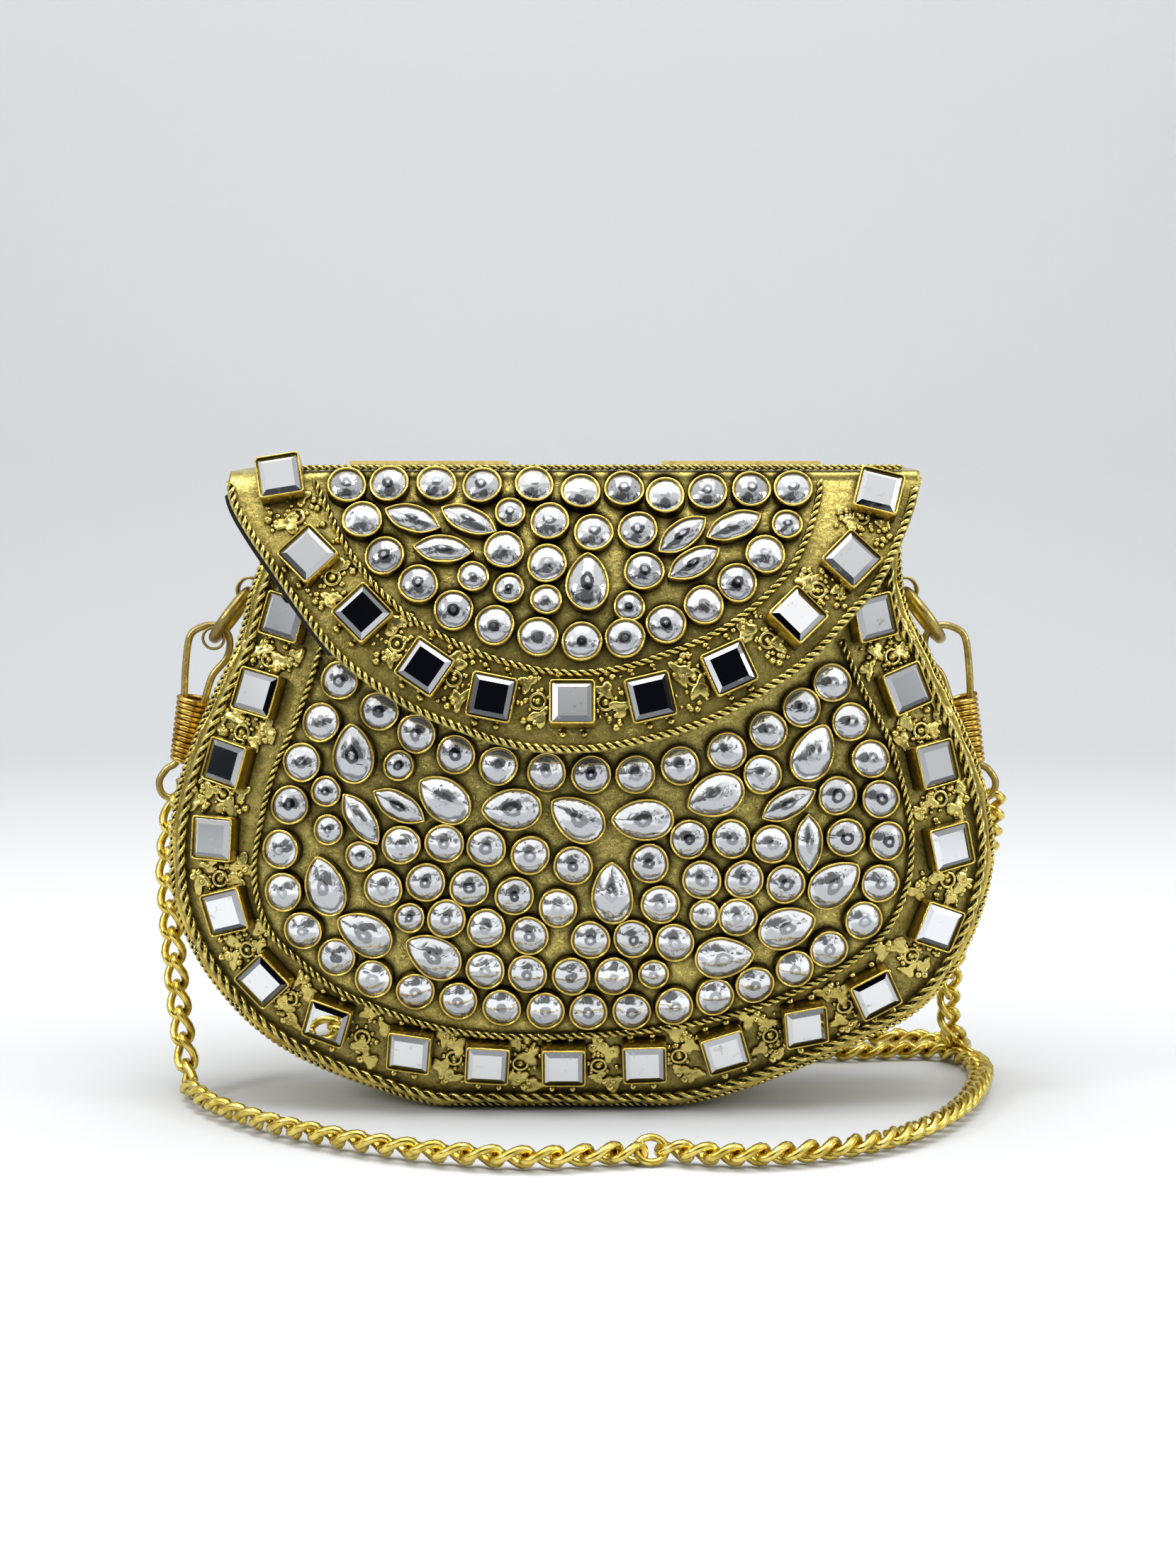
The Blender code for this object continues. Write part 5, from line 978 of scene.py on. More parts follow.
def add_body(materials, sizes):
    around, shares = 420, np.concatenate([[1.0], np.linspace(0.992, 0.05, 130)])
    line = band_line(360)
    mouth = line[-1] + (line[0] - line[-1]) * np.linspace(0, 1, around - 358)[1:-1, None]
    rim = np.vstack([line, mouth])
    around = len(rim)
    flat = CENTRE + (rim - CENTRE)[None] * shares[:, None, None]
    y = RIM_Y - DOME_RISE * (1 - shares**DOME_POWER)
    sheet = np.stack([flat[..., 0], np.broadcast_to(y[:, None], flat.shape[:2]), flat[..., 1]], -1)
    turned_in = sheet[:1] + [0.0, PANEL_SHEET, 0.0]
    inside = np.stack([flat[6, :, 0], np.full(around, y[6] + PANEL_SHEET), flat[6, :, 1]], -1)[None]
    points = np.vstack([g.reshape(-1, 3) for g in (inside, turned_in, sheet)]
                       + [[[CENTRE[0], RIM_Y - DOME_RISE, CENTRE[1]]]])
    rows = len(shares) + 2
    faces = [grid(rows, around, closed=True), fan((rows - 1) * around, around, rows * around)]
    stones = zip((BODY_ROUNDS, BODY_SMALL_ROUNDS, BODY_DROPS, BODY_MARQUISES, BODY_MIRRORS),
                 FOOT_RADII)
    # Dirt and painted contact shadow darken the ground at each cup's foot; the border outside the inner
    # rope is darker all over.
    field = within(points[:, ::2], np.array(INNER_ROPE))
    clear_of_dirt_and_shadow = dirt_and_shadow_near(points, stones) * np.where(field, 1.0, 0.65)
    add_piece("front_dome", points, faces, materials["ground"], replaces=["front_panel"],
              marks={"wear_and_shade": clear_of_dirt_and_shadow})
    back = points * [1.0, -1.0, 1.0]
    keep = [group[:, ::-1] for group in faces]
    add_piece("back_dome", back, keep, materials["sheet"], replaces=["back_panel"],
              marks={"wear_and_shade": np.ones(len(back))})

    line = band_line(420)
    normals = outline_normals(line)
    half = GUSSET_DEPTH / 2
    rows = np.array([(0.0, -half), (0.0, -half + 1.0)]
                    + [(0.0, y) for y in np.linspace(-half + 2, half - 2, 14)]
                    + [(0.0, half - 1.0), (0.0, half), (-BAND_SHEET, half), (-BAND_SHEET, 0.0),
                       (-BAND_SHEET, -half), (0.0, -half)])
    ring = line[None] + normals[None] * rows[:, :1, None]
    points = np.stack([ring[..., 0], np.broadcast_to(rows[:, 1:], ring.shape[:2]), ring[..., 1]], -1)
    add_piece("side_band", points, [grid(len(rows), len(line))[:, ::-1]], materials["sheet"],
              replaces=["gusset_band"], marks={"wear_and_shade": np.full(points[..., 0].size, 0.9)})

    along = np.linspace(0, length_of(line), len(line))
    wave = 0.75 + 0.28 * np.sin(along / 3.1 + 0.8 * np.sin(along / 17.0)) + 0.12 * np.sin(along / 1.3)
    keep = line[:, 1] < ROPE_END_HEIGHT
    rows = ((-0.4, -0.16), (0.0, -0.16), (1.0, -0.14), (1.1, 0.0), (1.0, 0.14), (0.0, 0.16),
            (-0.4, 0.16))
    for side, sign in (("front", -1.0), ("back", 1.0)):
        layers = []
        for reach, shift in rows:
            out = line + normals * (reach * wave)[:, None]
            y = np.full(len(line), sign * (half + 0.65) + shift)
            layers.append(np.stack([out[:, 0], y, out[:, 1]], -1)[keep])
        lip = np.array(layers)
        add_piece("sheet_lip_" + side, lip, [grid(len(rows), lip.shape[1])], materials["cup"],
                  marks={"wear_and_shade": np.full(lip[..., 0].size, 0.85)})

    inset = BAND_SHEET + LINING_GAP
    lift = PANEL_SHEET + LINING_GAP
    away = rim - CENTRE
    shrunk = 1.0 - inset / np.linalg.norm(away, axis=1, keepdims=True)
    shares = np.linspace(1.0, 0.02, 40)
    flat = CENTRE + away[None] * shrunk[None] * shares[:, None, None]
    share = shares[:, None] * shrunk[None, :, 0]
    puckers = 0.25 * np.sin(flat[..., 0] / 7.0 + 1.3 * np.sin(flat[..., 1] / 9.0))
    y = RIM_Y + lift + 0.3 - DOME_RISE * (1 - share**DOME_POWER) + puckers * (1 - share**6)
    front = np.stack([flat[..., 0], y, flat[..., 1]], -1)
    sheets = [front.reshape(-1, 3), (front * [1, -1, 1]).reshape(-1, 3)]
    faces = [grid(40, around, closed=True), grid(40, around, closed=True)[:, ::-1] + len(sheets[0])]
    k = np.arange(len(band_line(360)) - 1)
    bridge = len(sheets[0])
    faces.append(np.stack([k, bridge + k, bridge + k + 1, k + 1], -1))
    lining = add_piece("velvet_body_lining", np.vstack(sheets), faces, materials["velvet"],
                       replaces=["body_lining"], slot="velvet")
    thick = lining.modifiers.new("pile", "SOLIDIFY")
    thick.thickness = LINING_THICKNESS * 0.7 * MM
    thick.offset = -1.0


def flap_points(columns, face_rows, inset, left_proud=0.0):
    """Outer face of the flap as rows from its lower edge over the bend to the hinges."""
    edge = even_points(smooth_curve(FLAP_EDGE, 6), columns)
    normals = outline_normals(edge * [1, -1]) * [1, -1]
    proud = np.where((edge[:, 0] < -56.0) & (edge[:, 1] > 4.0), inset + left_proud, 0.0)
    edge = edge - normals * (inset - proud)[:, None]
    edge[:, 1] = np.maximum(edge[:, 1], 1.0)
    across = np.linspace(0.0, 1.0, columns)
    top_x = edge[0, 0] + 0.6 + (edge[-1, 0] - edge[0, 0] - 1.2) * across
    rear_x = (FLAP_REAR_HALF - inset) * (2 * across - 1)
    rear_y = HINGE_Y - BARREL_RADIUS - FLAP_REAR_GAP - inset
    share = np.linspace(0, 1, face_rows)[:, None]
    x = edge[:, 0] + (top_x - edge[:, 0]) * share
    high = np.minimum(flap_bend(x), 0.75 * edge[:, 1])
    rows = [flap(x, edge[:, 1] + (high - edge[:, 1]) * share)]
    bend = flap_bend(top_x)
    start = np.minimum(bend, 0.75 * edge[:, 1])
    part = np.linspace(1, -1, 9)[1:, None]
    rows.append(flap(np.broadcast_to(top_x, (8, columns)),
                     np.where(part > 0, part * start, part * bend)))
    front = flap(top_x, -bend)
    share = np.linspace(0, 1, 22)[1:, None]
    rise = FLAP_ROOF_RISE * np.clip(share / FLAP_RISE_SHARE, 0, 1)
    roof_y = front[:, 1] + (rear_y - front[:, 1]) * share
    rows.append(np.stack([top_x + (rear_x - top_x) * share, roof_y,
                          np.broadcast_to(FLAP_TOP + rise, roof_y.shape)], -1))
    return np.concatenate(rows)


def add_flap(materials, sizes):
    points = flap_points(230, 90, 0.0)
    rows, columns = points.shape[:2]
    stones = zip((FLAP_ROUNDS, FLAP_SMALL_ROUNDS, FLAP_DROPS, FLAP_MARQUISES, FLAP_MIRRORS),
                 FOOT_RADII)
    flat = points.reshape(-1, 3)
    # Dirt and painted contact shadow darken the flap's ground at each cup's foot.
    clear_of_dirt_and_shadow = np.where(flat[:, 1] > FLAP_FRONT_Y + 3.0, 1.0, dirt_and_shadow_near(flat, stones))
    plate = add_piece("flap_sheet", flat, [grid(rows, columns)], materials["ground"], "flap",
                      marks={"wear_and_shade": clear_of_dirt_and_shadow}, replaces=["flap_plate"])
    thick = plate.modifiers.new("sheet", "SOLIDIFY")
    thick.thickness = FLAP_SHEET * MM
    thick.offset = -1.0

    points = flap_points(120, 46, 1.6, 0.9)
    along, down = np.gradient(points, axis=1), np.gradient(points, axis=0)
    normal = unit(np.cross(along, down))
    inner = points - normal * (FLAP_SHEET + SEAT)
    lining = add_piece("velvet_flap_lining", inner, [grid(*inner.shape[:2])], materials["velvet"],
                       "flap", replaces=["flap_lining"], slot="velvet")
    thick = lining.modifiers.new("pile", "SOLIDIFY")
    thick.thickness = FLAP_LINING * MM
    thick.offset = -1.0


def rope_on(surface, places, radius, count):
    line = even_points(smooth_curve(places, 8), count)
    foot, normal, _, _ = frames(surface, line[:, 0], line[:, 1])
    return foot + normal * (radius + 0.1), normal


def add_ropes(materials, sizes):
    line = band_line(900)
    keep = line[:, 1] < ROPE_END_HEIGHT
    normals = outline_normals(line)
    outer = (line + normals * (ROPE_OUTER_RADIUS + 0.25))[keep]
    outer[:, 1] = np.maximum(outer[:, 1], ROPE_OUTER_RADIUS)
    rim = (line - normals * ROPE_EDGE_INSET)[keep]
    for side, sign in (("front", 1.0), ("back", -1.0)):
        y = -sign * (GUSSET_DEPTH / 2 - ROPE_OUTER_RADIUS - SEAT)
        path = np.stack([outer[:, 0], np.full(len(outer), y), outer[:, 1]], 1)
        out = np.stack([normals[keep][:, 0], np.zeros(len(outer)), normals[keep][:, 1]], 1)
        points, faces, wear_and_shade = rope(path, out, ROPE_OUTER_RADIUS, sizes.fine_pitch, around=7,
                                   per_turn=10)
        add_piece("rope_outer_" + side, points, faces, materials["wire"], marks={"wear_and_shade": wear_and_shade},
                  replaces=["rope_%s_outer" % side])
        path, normal = rope_on(dome, rim[::12], ROPE_EDGE_RADIUS, 400)
        flipped = [1, sign, 1]
        points, faces, wear_and_shade = rope(path * flipped, normal * flipped, ROPE_EDGE_RADIUS,
                                   sizes.thick_pitch)
        add_piece("rope_edge_" + side, points, faces, materials["wire"], marks={"wear_and_shade": wear_and_shade},
                  replaces=["rope_%s_edge" % side])
    path, normal = rope_on(dome, INNER_ROPE, ROPE_INNER_RADIUS, 300)
    points, faces, wear_and_shade = rope(path, normal, ROPE_INNER_RADIUS, sizes.inner_pitch)
    add_piece("rope_round_stones", points, faces, materials["wire"], marks={"wear_and_shade": wear_and_shade},
              replaces=["rope_front_inner"])

    edge = smooth_curve(FLAP_EDGE, 6)
    normals = outline_normals(edge * [1, -1]) * [1, -1]
    edge = (edge - normals * ROPE_FLAP_RADIUS)[2:-2]
    for name, places, radius, pitch in (
            ("rope_flap_edge", edge, ROPE_FLAP_RADIUS, sizes.inner_pitch),
            ("rope_flap_inner", smooth_curve(FLAP_INNER_ROPE, 4), ROPE_INNER_RADIUS,
             sizes.inner_pitch)):
        path, normal = rope_on(flap_down, places * [1, -1], radius, 300)
        points, faces, wear_and_shade = rope(path, normal, radius, pitch)
        add_piece(name + "_twist", points, faces, materials["wire"], "flap", marks={"wear_and_shade": wear_and_shade},
                  replaces=[name])
    x = np.linspace(-64.0, 72.0, 200)
    top = flap(x, -ROPE_TOP_BACK) + np.array([0.0, -0.3, 1.0]) * (ROPE_TOP_RADIUS + 0.1)
    points, faces, wear_and_shade = rope(top, np.tile([0.0, 0.0, 1.0], (200, 1)), ROPE_TOP_RADIUS,
                               sizes.fine_pitch, around=6)
    add_piece("rope_flap_top_twist", points, faces, materials["wire"], "flap", marks={"wear_and_shade": wear_and_shade},
              replaces=["rope_flap_top"])


BODY_TIPS = [(0, 0), (0, 0), (-7, 0)] + [(0, 0)] * 13 + [(7, 0), (0, 0), (0, 0)]
# Painted reflections: how grey each mirror's table is, from 0 white to 1 dark.
BODY_TABLE_PAINTED_REFLECTIONS = [0.2, 0.2, 0.6, 0.65, 0.1, 0.1, 0.1, 0.05, 0.05, 0.05, 0.05, 0.05, 0.1, 0.1, 0.1, 0.2,
               0.5, 0.55, 0.2]
FLAP_TABLE_PAINTED_REFLECTIONS = [0.35, 0.45, 0.1, 0.1, 0.1, 0.05, 0.1, 0.1, 0.1, 0.4, 0.35]
FLAP_TIPS = [(0, 0), (0, 0), (6, 0), (0, 0), (0, 0), (0, 14), (0, 0), (0, 0), (9, 9), (0, 0), (0, 0)]


def add_stones(materials, sizes):
    rng = np.random.default_rng(5)
    for name, surface, body, kinds, mirrors, tips, table_painted_reflections in (
            ("body", dome, "bag", kinds_of(BODY_ROUNDS, BODY_SMALL_ROUNDS, BODY_DROPS, BODY_MARQUISES),
             BODY_MIRRORS, BODY_TIPS, BODY_TABLE_PAINTED_REFLECTIONS),
            ("flap", flap_seen, "flap", kinds_of(FLAP_ROUNDS, FLAP_SMALL_ROUNDS, FLAP_DROPS,
                                                 FLAP_MARQUISES), FLAP_MIRRORS, FLAP_TIPS,
             FLAP_TABLE_PAINTED_REFLECTIONS)):
        cups, wear_and_shade, stones, uv, shade = set_stones(surface, kinds, rng, sizes.unevenness)
        add_piece(name + "_stone_cups", *cups, materials["cup"], body, marks={"wear_and_shade": wear_and_shade})
        add_piece(name + "_stones", *stones, materials["stone"], body, marks={"shade": shade}, uv=uv,
                  slot="mirror_glass")
        cups, wear_and_shade, glasses, shade = set_mirrors(surface, mirrors, tips, table_painted_reflections, rng)
        add_piece(name + "_mirror_cups", *cups, materials["cup"], body, marks={"wear_and_shade": wear_and_shade})
        add_piece(name + "_mirrors", *glasses, materials["mirror"], body, smooth=False,
                  marks={"shade": shade}, slot="mirror_glass",
                  replaces=["mirror_%02d" % k for k in range(1, 20)] if name == "body" else ())


def add_border(materials, sizes):
    rng = np.random.default_rng(11)
    add_ornaments("body_border", dome, BODY_MIRRORS, "bag", materials, rng,
                  [(-1.6, 5.4), (1.8, 2.6), (-1.7, -3.2), (1.7, -5.6)])
    add_ornaments("flap_border", flap_seen, FLAP_MIRRORS, "flap", materials, rng,
                  [(-1.9, 3.0), (1.9, -3.0)])


def lug_middle(side):
    line = band_line(600)
    own = line[line[:, 0] * side > 0]
    own = own[np.argsort(own[:, 1])]
    return np.array([np.interp(LUG_HEIGHT, own[:, 1], own[:, 0]) + side * (LUG_RADIUS + SEAT + 0.4),
                     0.0, LUG_HEIGHT])


def coil(top, end, radius_top, radius_end, turns, wire):
    """A closed-wound tapering coil about the line from top to end."""
    axis = unit(end - top)
    side = unit(np.cross(axis, (0.0, 1.0, 0.0)))
    t = np.linspace(0.0, 1.0, int(turns * 22))[:, None]
    a = 2 * math.pi * turns * t
    radius = radius_top + (radius_end - radius_top) * t - wire
    path = top + (end - top) * t + radius * (np.cos(a) * side + np.sin(a) * np.array([0.0, 1.0, 0.0]))
    return tube(path, wire, 8, reference=axis)


def add_fittings(materials, sizes):
    for name, side in (("left", -1.0), ("right", 1.0)):
        lug = lug_middle(side)
        turn = np.linspace(0, 2 * math.pi, 40, endpoint=False)
        ring = np.stack([np.cos(turn), np.zeros(40), np.sin(turn)], 1)
        half = LUG_LENGTH / 2
        rows = [(LUG_RADIUS, -half + 0.15), (LUG_RADIUS, half - 0.15), (LUG_RADIUS - 0.15, half),
                (LUG_RADIUS - LUG_WALL, half), (LUG_RADIUS - LUG_WALL, -half),
                (LUG_RADIUS - 0.15, -half), (LUG_RADIUS, -half + 0.15)]
        points = np.vstack([lug + ring * r + [0, y, 0] for r, y in rows])
        add_piece("strap_lug_" + name, points, [grid(len(rows), 40, closed=True)], materials["fitting"],
                  replaces=["lug_" + name])
        lean = math.radians(RING_LEAN)
        down = np.array([side * math.sin(lean), 0.0, -math.cos(lean)])
        sag = RING_RADIUS - math.sqrt(RING_RADIUS**2 - half**2)
        middle = lug + down * (LUG_RADIUS - LUG_WALL - RING_WIRE - SEAT - sag + RING_RADIUS)
        turn = np.linspace(0, 2 * math.pi, 64, endpoint=False)[:, None]
        path = middle + RING_RADIUS * (np.cos(turn) * down + np.sin(turn) * np.array([0, 1.0, 0]))
        add_piece("wire_ring_" + name, *tube(path, RING_WIRE, 16, closed=True,
                                             reference=np.cross(down, (0, 1, 0))),
                  materials["fitting"], "ring_" + name, replaces=["ring_" + name])
        path = [lug + np.array([side * u, 0.0, v]) for u, v in smooth_curve(CLIP_LOOP, 7)]
        add_piece("wire_clip_" + name, *tube(path, CLIP_WIRE, 12), materials["fitting"],
                  "clip_" + name, replaces=["clip_" + name])
        top = lug + np.array([side * SLEEVE_TOP[0], 0.0, SLEEVE_TOP[1]])
        end = lug + np.array([side * SLEEVE_END[0], 0.0, SLEEVE_END[1]])
        add_piece("coil_sleeve_" + name,
                  *coil(top, end, SLEEVE_TOP_RADIUS, SLEEVE_END_RADIUS, SLEEVE_TURNS, SLEEVE_WIRE),
                  materials["sleeve"], "clip_" + name, replaces=["clip_sleeve_" + name],
                  slot="bright_brass")
        if side < 0:
            reach = math.sqrt(RING_RADIUS**2 - TIE_ASIDE**2)
            low = middle + down * (reach + TIE_RADIUS - RING_WIRE - TIE_WIRE - 1.5 * SEAT)
            low[1] = -TIE_ASIDE
            path = low + TIE_RADIUS * (np.cos(turn) * down + np.sin(turn) * np.cross(down, (0, 1, 0)))
            add_piece("thin_wire_circle", *tube(path, TIE_WIRE, 8, closed=True), materials["fitting"],
                      "ring_left", replaces=["wire_tie_left"])


def curb_link(pitch):
    """One link about its middle, as long as its pitch and two wires: u = a cos t along the chain, and
    r = b |sin t|^0.7 away from it in a direction that turns with u, so v = -r sin(k cos t) across
    and w = r cos(k cos t) outward."""
    t = np.arange(20) * 2 * math.pi / 20
    far = LINK_HALF_WIDTH * np.sign(np.sin(t)) * np.abs(np.sin(t))**0.7
    turn = LINK_TWIST * np.cos(t)
    middle = np.stack([(pitch / 2 + LINK_WIRE) * np.cos(t), -far * np.sin(turn), far * np.cos(turn)], 1)
    return tube(middle, LINK_WIRE, 8, closed=True, reference=(0.0, 1.0, 0.0))


def chain(route, spacing, start, end):
    """Curb links set along a route, rolled so that hanging ones turn their open side forward."""
    curve = smooth_curve(route, 12)
    low = np.clip((2.4 - curve[:, 2]) / 0.8, 0.0, 1.0)
    curve[:, 2] += low * np.interp(curve[:, 1], (4.0, 24.0), LINK_LIFT[::-1])
    length = length_of(curve)
    links = int(round(length / spacing))
    pitch = (length - start - end) / (links - 1)
    path = even_points(curve, 1200)
    along = unit(np.gradient(path, axis=0))
    upright = np.abs(along[:, 2:])
    lean = np.interp(path[:, 1:2], (4.0, 24.0), (LINK_LEAN, 0.5 * math.pi))
    aside = unit(np.cross((0.0, 0.0, 1.0), along) + [0.0, 1e-6, 0.0])
    level = np.array([0.0, 0.0, 1.0]) * np.cos(lean) - aside * np.sin(lean)
    facing = level * (1 - upright) + np.array([0.0, -1.0, 0.0]) * upright
    broad = np.cross(along, facing)
    flips = np.sign(np.sum(broad[1:] * broad[:-1], axis=1))
    broad = unit(broad * np.concatenate([[1.0], np.cumprod(flips)])[:, None])
    thick = np.cross(broad, along)
    template, faces = curb_link(pitch)
    s = start + pitch * np.arange(links)[:, None] + template[None, :, 0]
    roll = HANGING_ROLL * np.interp(s, np.linspace(0, length, len(path)), upright[:, 0])[..., None]
    wide, deep = template[None, :, 1:2], template[None, :, 2:]
    wide, deep = (wide * np.cos(roll) - deep * np.sin(roll), wide * np.sin(roll) + deep * np.cos(roll))
    at = np.linspace(0, length, len(path))
    spots = np.stack([np.interp(s, at, column) for column in path.T], -1)
    over = np.clip(s, 0, length) - s
    spots -= over[..., None] * np.stack([np.interp(s, at, column) for column in along.T], -1)
    points = (spots + wide * unit(np.stack([np.interp(s, at, c) for c in broad.T], -1))
              + deep * unit(np.stack([np.interp(s, at, c) for c in thick.T], -1)))
    step = len(template) * np.arange(links)[:, None, None]
    return points.reshape(-1, 3), [(faces[0][None] + step).reshape(-1, 4)], curve, length


def add_chain(materials, sizes):
    x, y, z, turn = JOINING_LINK_PLACE
    x += JOINING_SHIFT
    z += JOINING_LIFT
    a = np.linspace(0.0, 2 * math.pi, 48, endpoint=False)
    u, v = JOINING_HALF_LENGTH * np.cos(a), JOINING_HALF_WIDTH * np.sin(a)
    c, s = math.cos(math.radians(turn)), math.sin(math.radians(turn))
    flat, high = v * math.cos(LINK_LEAN), v * math.sin(LINK_LEAN)
    path = np.stack([x + c * u - s * flat, y + s * u + c * flat, z + high], 1)
    along = np.array([c, s, 0.0])
    level = np.array([s * math.sin(LINK_LEAN), -c * math.sin(LINK_LEAN), math.cos(LINK_LEAN)])
    template, faces = curb_link(LINK_PITCH["right"])
    before = np.array([x, y, z]) - (LINK_PITCH["right"] - 0.3) * along - [0.0, 0.0, 0.6]
    extra = (before + template @ np.stack([along, np.cross(along, level), level]), faces)
    oval = tube(path, JOINING_WIRE, 10, closed=True, reference=(0.0, 0.0, 1.0))
    link_piece = add_piece("oval_joining_link", *joined(oval, extra),
                           materials["chain"], replaces=["chain_joining_link"], slot="chain_gold")
    for name, route, ends, exit_end, body, far, extra in (
            ("left", CHAIN_LEFT_ROUTE, (INTO_CLIP, INTO_JOINING), 0, "clip_left", "fitting",
             [link_piece]),
            ("right", CHAIN_RIGHT_ROUTE, (INTO_JOINING, INTO_CLIP), -1, "clip_right", "object", [])):
        points, faces, curve, length = chain(route, LINK_PITCH[name], *ends)
        piece = add_piece("curb_chain_" + name, points, faces, materials["chain"], None,
                          replaces=["chain_" + name], slot="chain_gold")
        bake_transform(piece)


def add_kept_parts(materials, sizes):
    """Hinge leaves, pins and magnets are right as they are and only get their metals."""
    for kept in ("hinge_body_leaf_left", "hinge_body_leaf_right", "hinge_flap_leaf_left",
                 "hinge_flap_leaf_right"):
        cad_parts[kept].material_slots[0].material = materials["hinge"]
    for kept in ("hinge_pin_left", "hinge_pin_right", "magnet_body", "magnet_flap"):
        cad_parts[kept].material_slots[0].material = materials["steel"]


def add_stage():
    """Floor and backdrop in one sweep, and the room's light."""
    turn = np.linspace(0, math.pi / 2, 24)
    profile = np.concatenate([[(-2600.0, 0.0)], np.stack([900 + 500 * np.sin(turn),
                                                          500 - 500 * np.cos(turn)], 1),
                              [(1400.0, 2600.0)]])
    x = np.linspace(-2600, 2600, 3)
    points = np.stack([np.broadcast_to(x, (len(profile), 3)),
                       np.broadcast_to(profile[:, :1], (len(profile), 3)),
                       np.broadcast_to(profile[:, 1:], (len(profile), 3))], -1).reshape(-1, 3)
    mesh = bpy.data.meshes.new("floor_sweep")
    mesh.from_pydata((points * MM).tolist(), [], grid(len(profile), 3).tolist())
    mesh.polygons.foreach_set("use_smooth", np.full(len(mesh.polygons), True))
    sweep = bpy.data.objects.new("floor_sweep", mesh)
    bpy.context.scene.collection.objects.link(sweep)
    material, tree, shader = new_material("paper_sweep", Roughness=0.85)
    place = node(tree, "ShaderNodeTexCoord").outputs["Object"]
    split = node(tree, "ShaderNodeSeparateXYZ", {0: place})
    # Painted shading: the paper is greyer on the floor in front and lighter up the backdrop and further
    # behind the bag.
    height = spread(tree, split.outputs["Z"], 0.0, 0.55)
    behind = spread(tree, split.outputs["Y"], 0.05, 0.14, 0.0, 0.35)
    share = math_node(tree, "MAXIMUM", height, behind)
    link(tree, mix(tree, share, linear("#C4C6C8"), linear("#E6E8EA")), shader, "Base Color")
    mesh.materials.append(material)

    world = bpy.data.worlds.new("room")
    bpy.context.scene.world = world
    world.use_nodes = True
    tree = world.node_tree
    back = tree.nodes["Background"]
    way = node(tree, "ShaderNodeTexCoord").outputs["Generated"]
    toward = node(tree, "ShaderNodeVectorMath", {0: way, 1: (0.0, -0.965, 0.26)},
                  operation="DOT_PRODUCT")
    dark = spread(tree, toward.outputs["Value"], 0.905, 0.96)
    up = node(tree, "ShaderNodeSeparateXYZ", {0: way}).outputs["Z"]
    things = node(tree, "ShaderNodeTexNoise", {"Vector": way, "Scale": 2.6, "Detail": 1.0})
    walls = mix(tree, spread(tree, things.outputs["Fac"], 0.44, 0.56), linear("#34363A"),
                linear("#F4F6F8"))
    room = mix(tree, spread(tree, up, 0.3, 0.62), walls, linear("#FFFFFF"))
    tree.links.new(mix(tree, dark, room, linear("#0C0E14")), back.inputs["Color"])
    back.inputs["Strength"].default_value = 1.12

    for name, place, aim, size, power in (
            ("top_softbox", (0.0, -0.15, 0.95), (0.0, 0.0, 0.05), 0.7, 7.5),
            ("left_softbox", (-0.8, -0.6, 0.6), (0.0, 0.0, 0.08), 0.25, 4.5),
            ("right_card", (0.85, -0.35, 0.45), (0.0, 0.0, 0.08), 0.25, 3.0)):
        lamp = bpy.data.lights.new(name, "AREA")
        lamp.shape = "SQUARE"
        lamp.size = size
        lamp.energy = power
        item = bpy.data.objects.new(name, lamp)
        item.location = place
        item.rotation_euler = (Vector(aim) - Vector(place)).to_track_quat("-Z", "Y").to_euler()
        bpy.context.scene.collection.objects.link(item)


def add_camera():
    lens = bpy.data.cameras.new("photo_camera")
    lens.lens = LENS
    lens.sensor_width = 36.0
    item = bpy.data.objects.new("photo_camera", lens)
    item.location = ((np.array(CAMERA_PLACE) + SHIFT) * MM).tolist()
    item.rotation_euler = (math.radians(90 - CAMERA_PITCH), 0.0, 0.0)
    bpy.context.scene.collection.objects.link(item)
    bpy.context.scene.camera = item
    bpy.context.scene.view_settings.view_transform = "Standard"


# Add-on

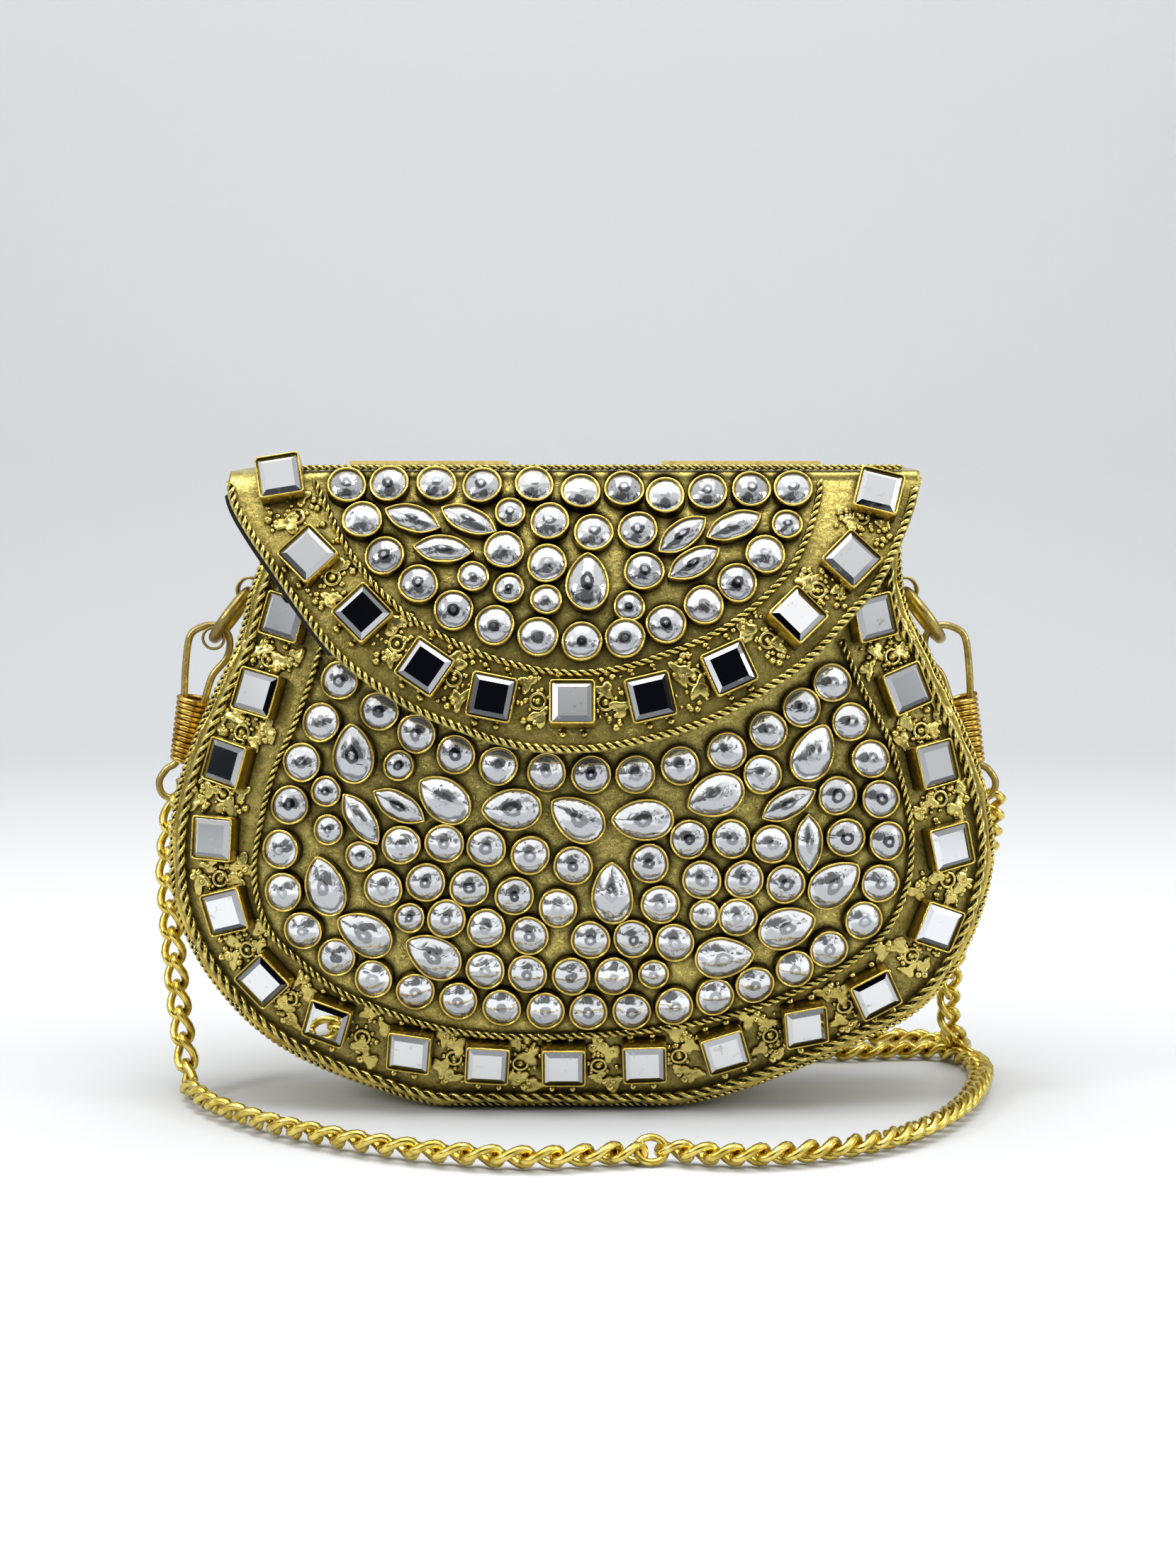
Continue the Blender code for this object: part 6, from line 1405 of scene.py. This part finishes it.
class BagSizes(bpy.types.PropertyGroup):
    """Values of the trims and stones that can be changed before the pieces are built."""
    fine_pitch: bpy.props.FloatProperty(name="Fine rope pitch", default=3.3, min=1.0, max=4.0,
                                        description="Length of one turn of the outer ropes, mm")
    thick_pitch: bpy.props.FloatProperty(name="Edge rope pitch", default=6.2, min=2.0, max=10.0,
                                         description="Length of one turn of the edge ropes, mm")
    inner_pitch: bpy.props.FloatProperty(name="Inner rope pitch", default=4.0, min=1.5, max=8.0,
                                         description="Length of one turn of the other ropes, mm")
    unevenness: bpy.props.FloatProperty(name="Unevenness", default=1.0, min=0.0, max=2.0,
                                        description="How unevenly the stones are set")


MATERIALS = {}


def made_materials():
    if not MATERIALS:
        MATERIALS.update(make_materials())
    return MATERIALS


class BagStep(bpy.types.Operator):
    """One step of building the bag; each subclass names what it adds."""
    bl_options = {"REGISTER", "UNDO"}
    group = None

    def execute(self, context):
        type(self).group(made_materials(), context.scene.bag_sizes)
        return {"FINISHED"}


def step(idname, label, function):
    """An operator class for one group of pieces."""
    return type("BAG_OT_" + idname, (BagStep,), {
        "bl_idname": "bag." + idname, "bl_label": label, "group": staticmethod(function)})


STEPS = [step("add_camera", "Camera", lambda materials, sizes: add_camera()),
         step("add_body", "Body and lining", add_body),
         step("add_flap", "Flap", add_flap),
         step("add_ropes", "Rope trims", add_ropes),
         step("add_stones", "Stones and mirrors", add_stones),
         step("add_border", "Border ornaments", add_border),
         step("add_fittings", "Rings and clips", add_fittings),
         step("add_chain", "Chain", add_chain),
         step("add_kept_parts", "Hinges and magnets", add_kept_parts),
         step("add_stage", "Floor and light", lambda materials, sizes: add_stage())]


class BAG_PT_panel(bpy.types.Panel):
    bl_label = "Clutch bag"
    bl_space_type = "VIEW_3D"
    bl_region_type = "UI"
    bl_category = "Bag"

    def draw(self, context):
        sizes = context.scene.bag_sizes
        for key in ("fine_pitch", "thick_pitch", "inner_pitch", "unevenness"):
            self.layout.prop(sizes, key)
        for operator in STEPS:
            self.layout.operator(operator.bl_idname)


CLASSES = [BagSizes, *STEPS, BAG_PT_panel]


def register():
    for item in CLASSES:
        bpy.utils.register_class(item)
    bpy.types.Scene.bag_sizes = bpy.props.PointerProperty(type=BagSizes)


def unregister():
    del bpy.types.Scene.bag_sizes
    for item in reversed(CLASSES):
        bpy.utils.unregister_class(item)


def main():
    register()
    for operator in STEPS:
        getattr(bpy.ops.bag, operator.bl_idname.split(".")[1])()


if __name__ == "__main__":
    main()
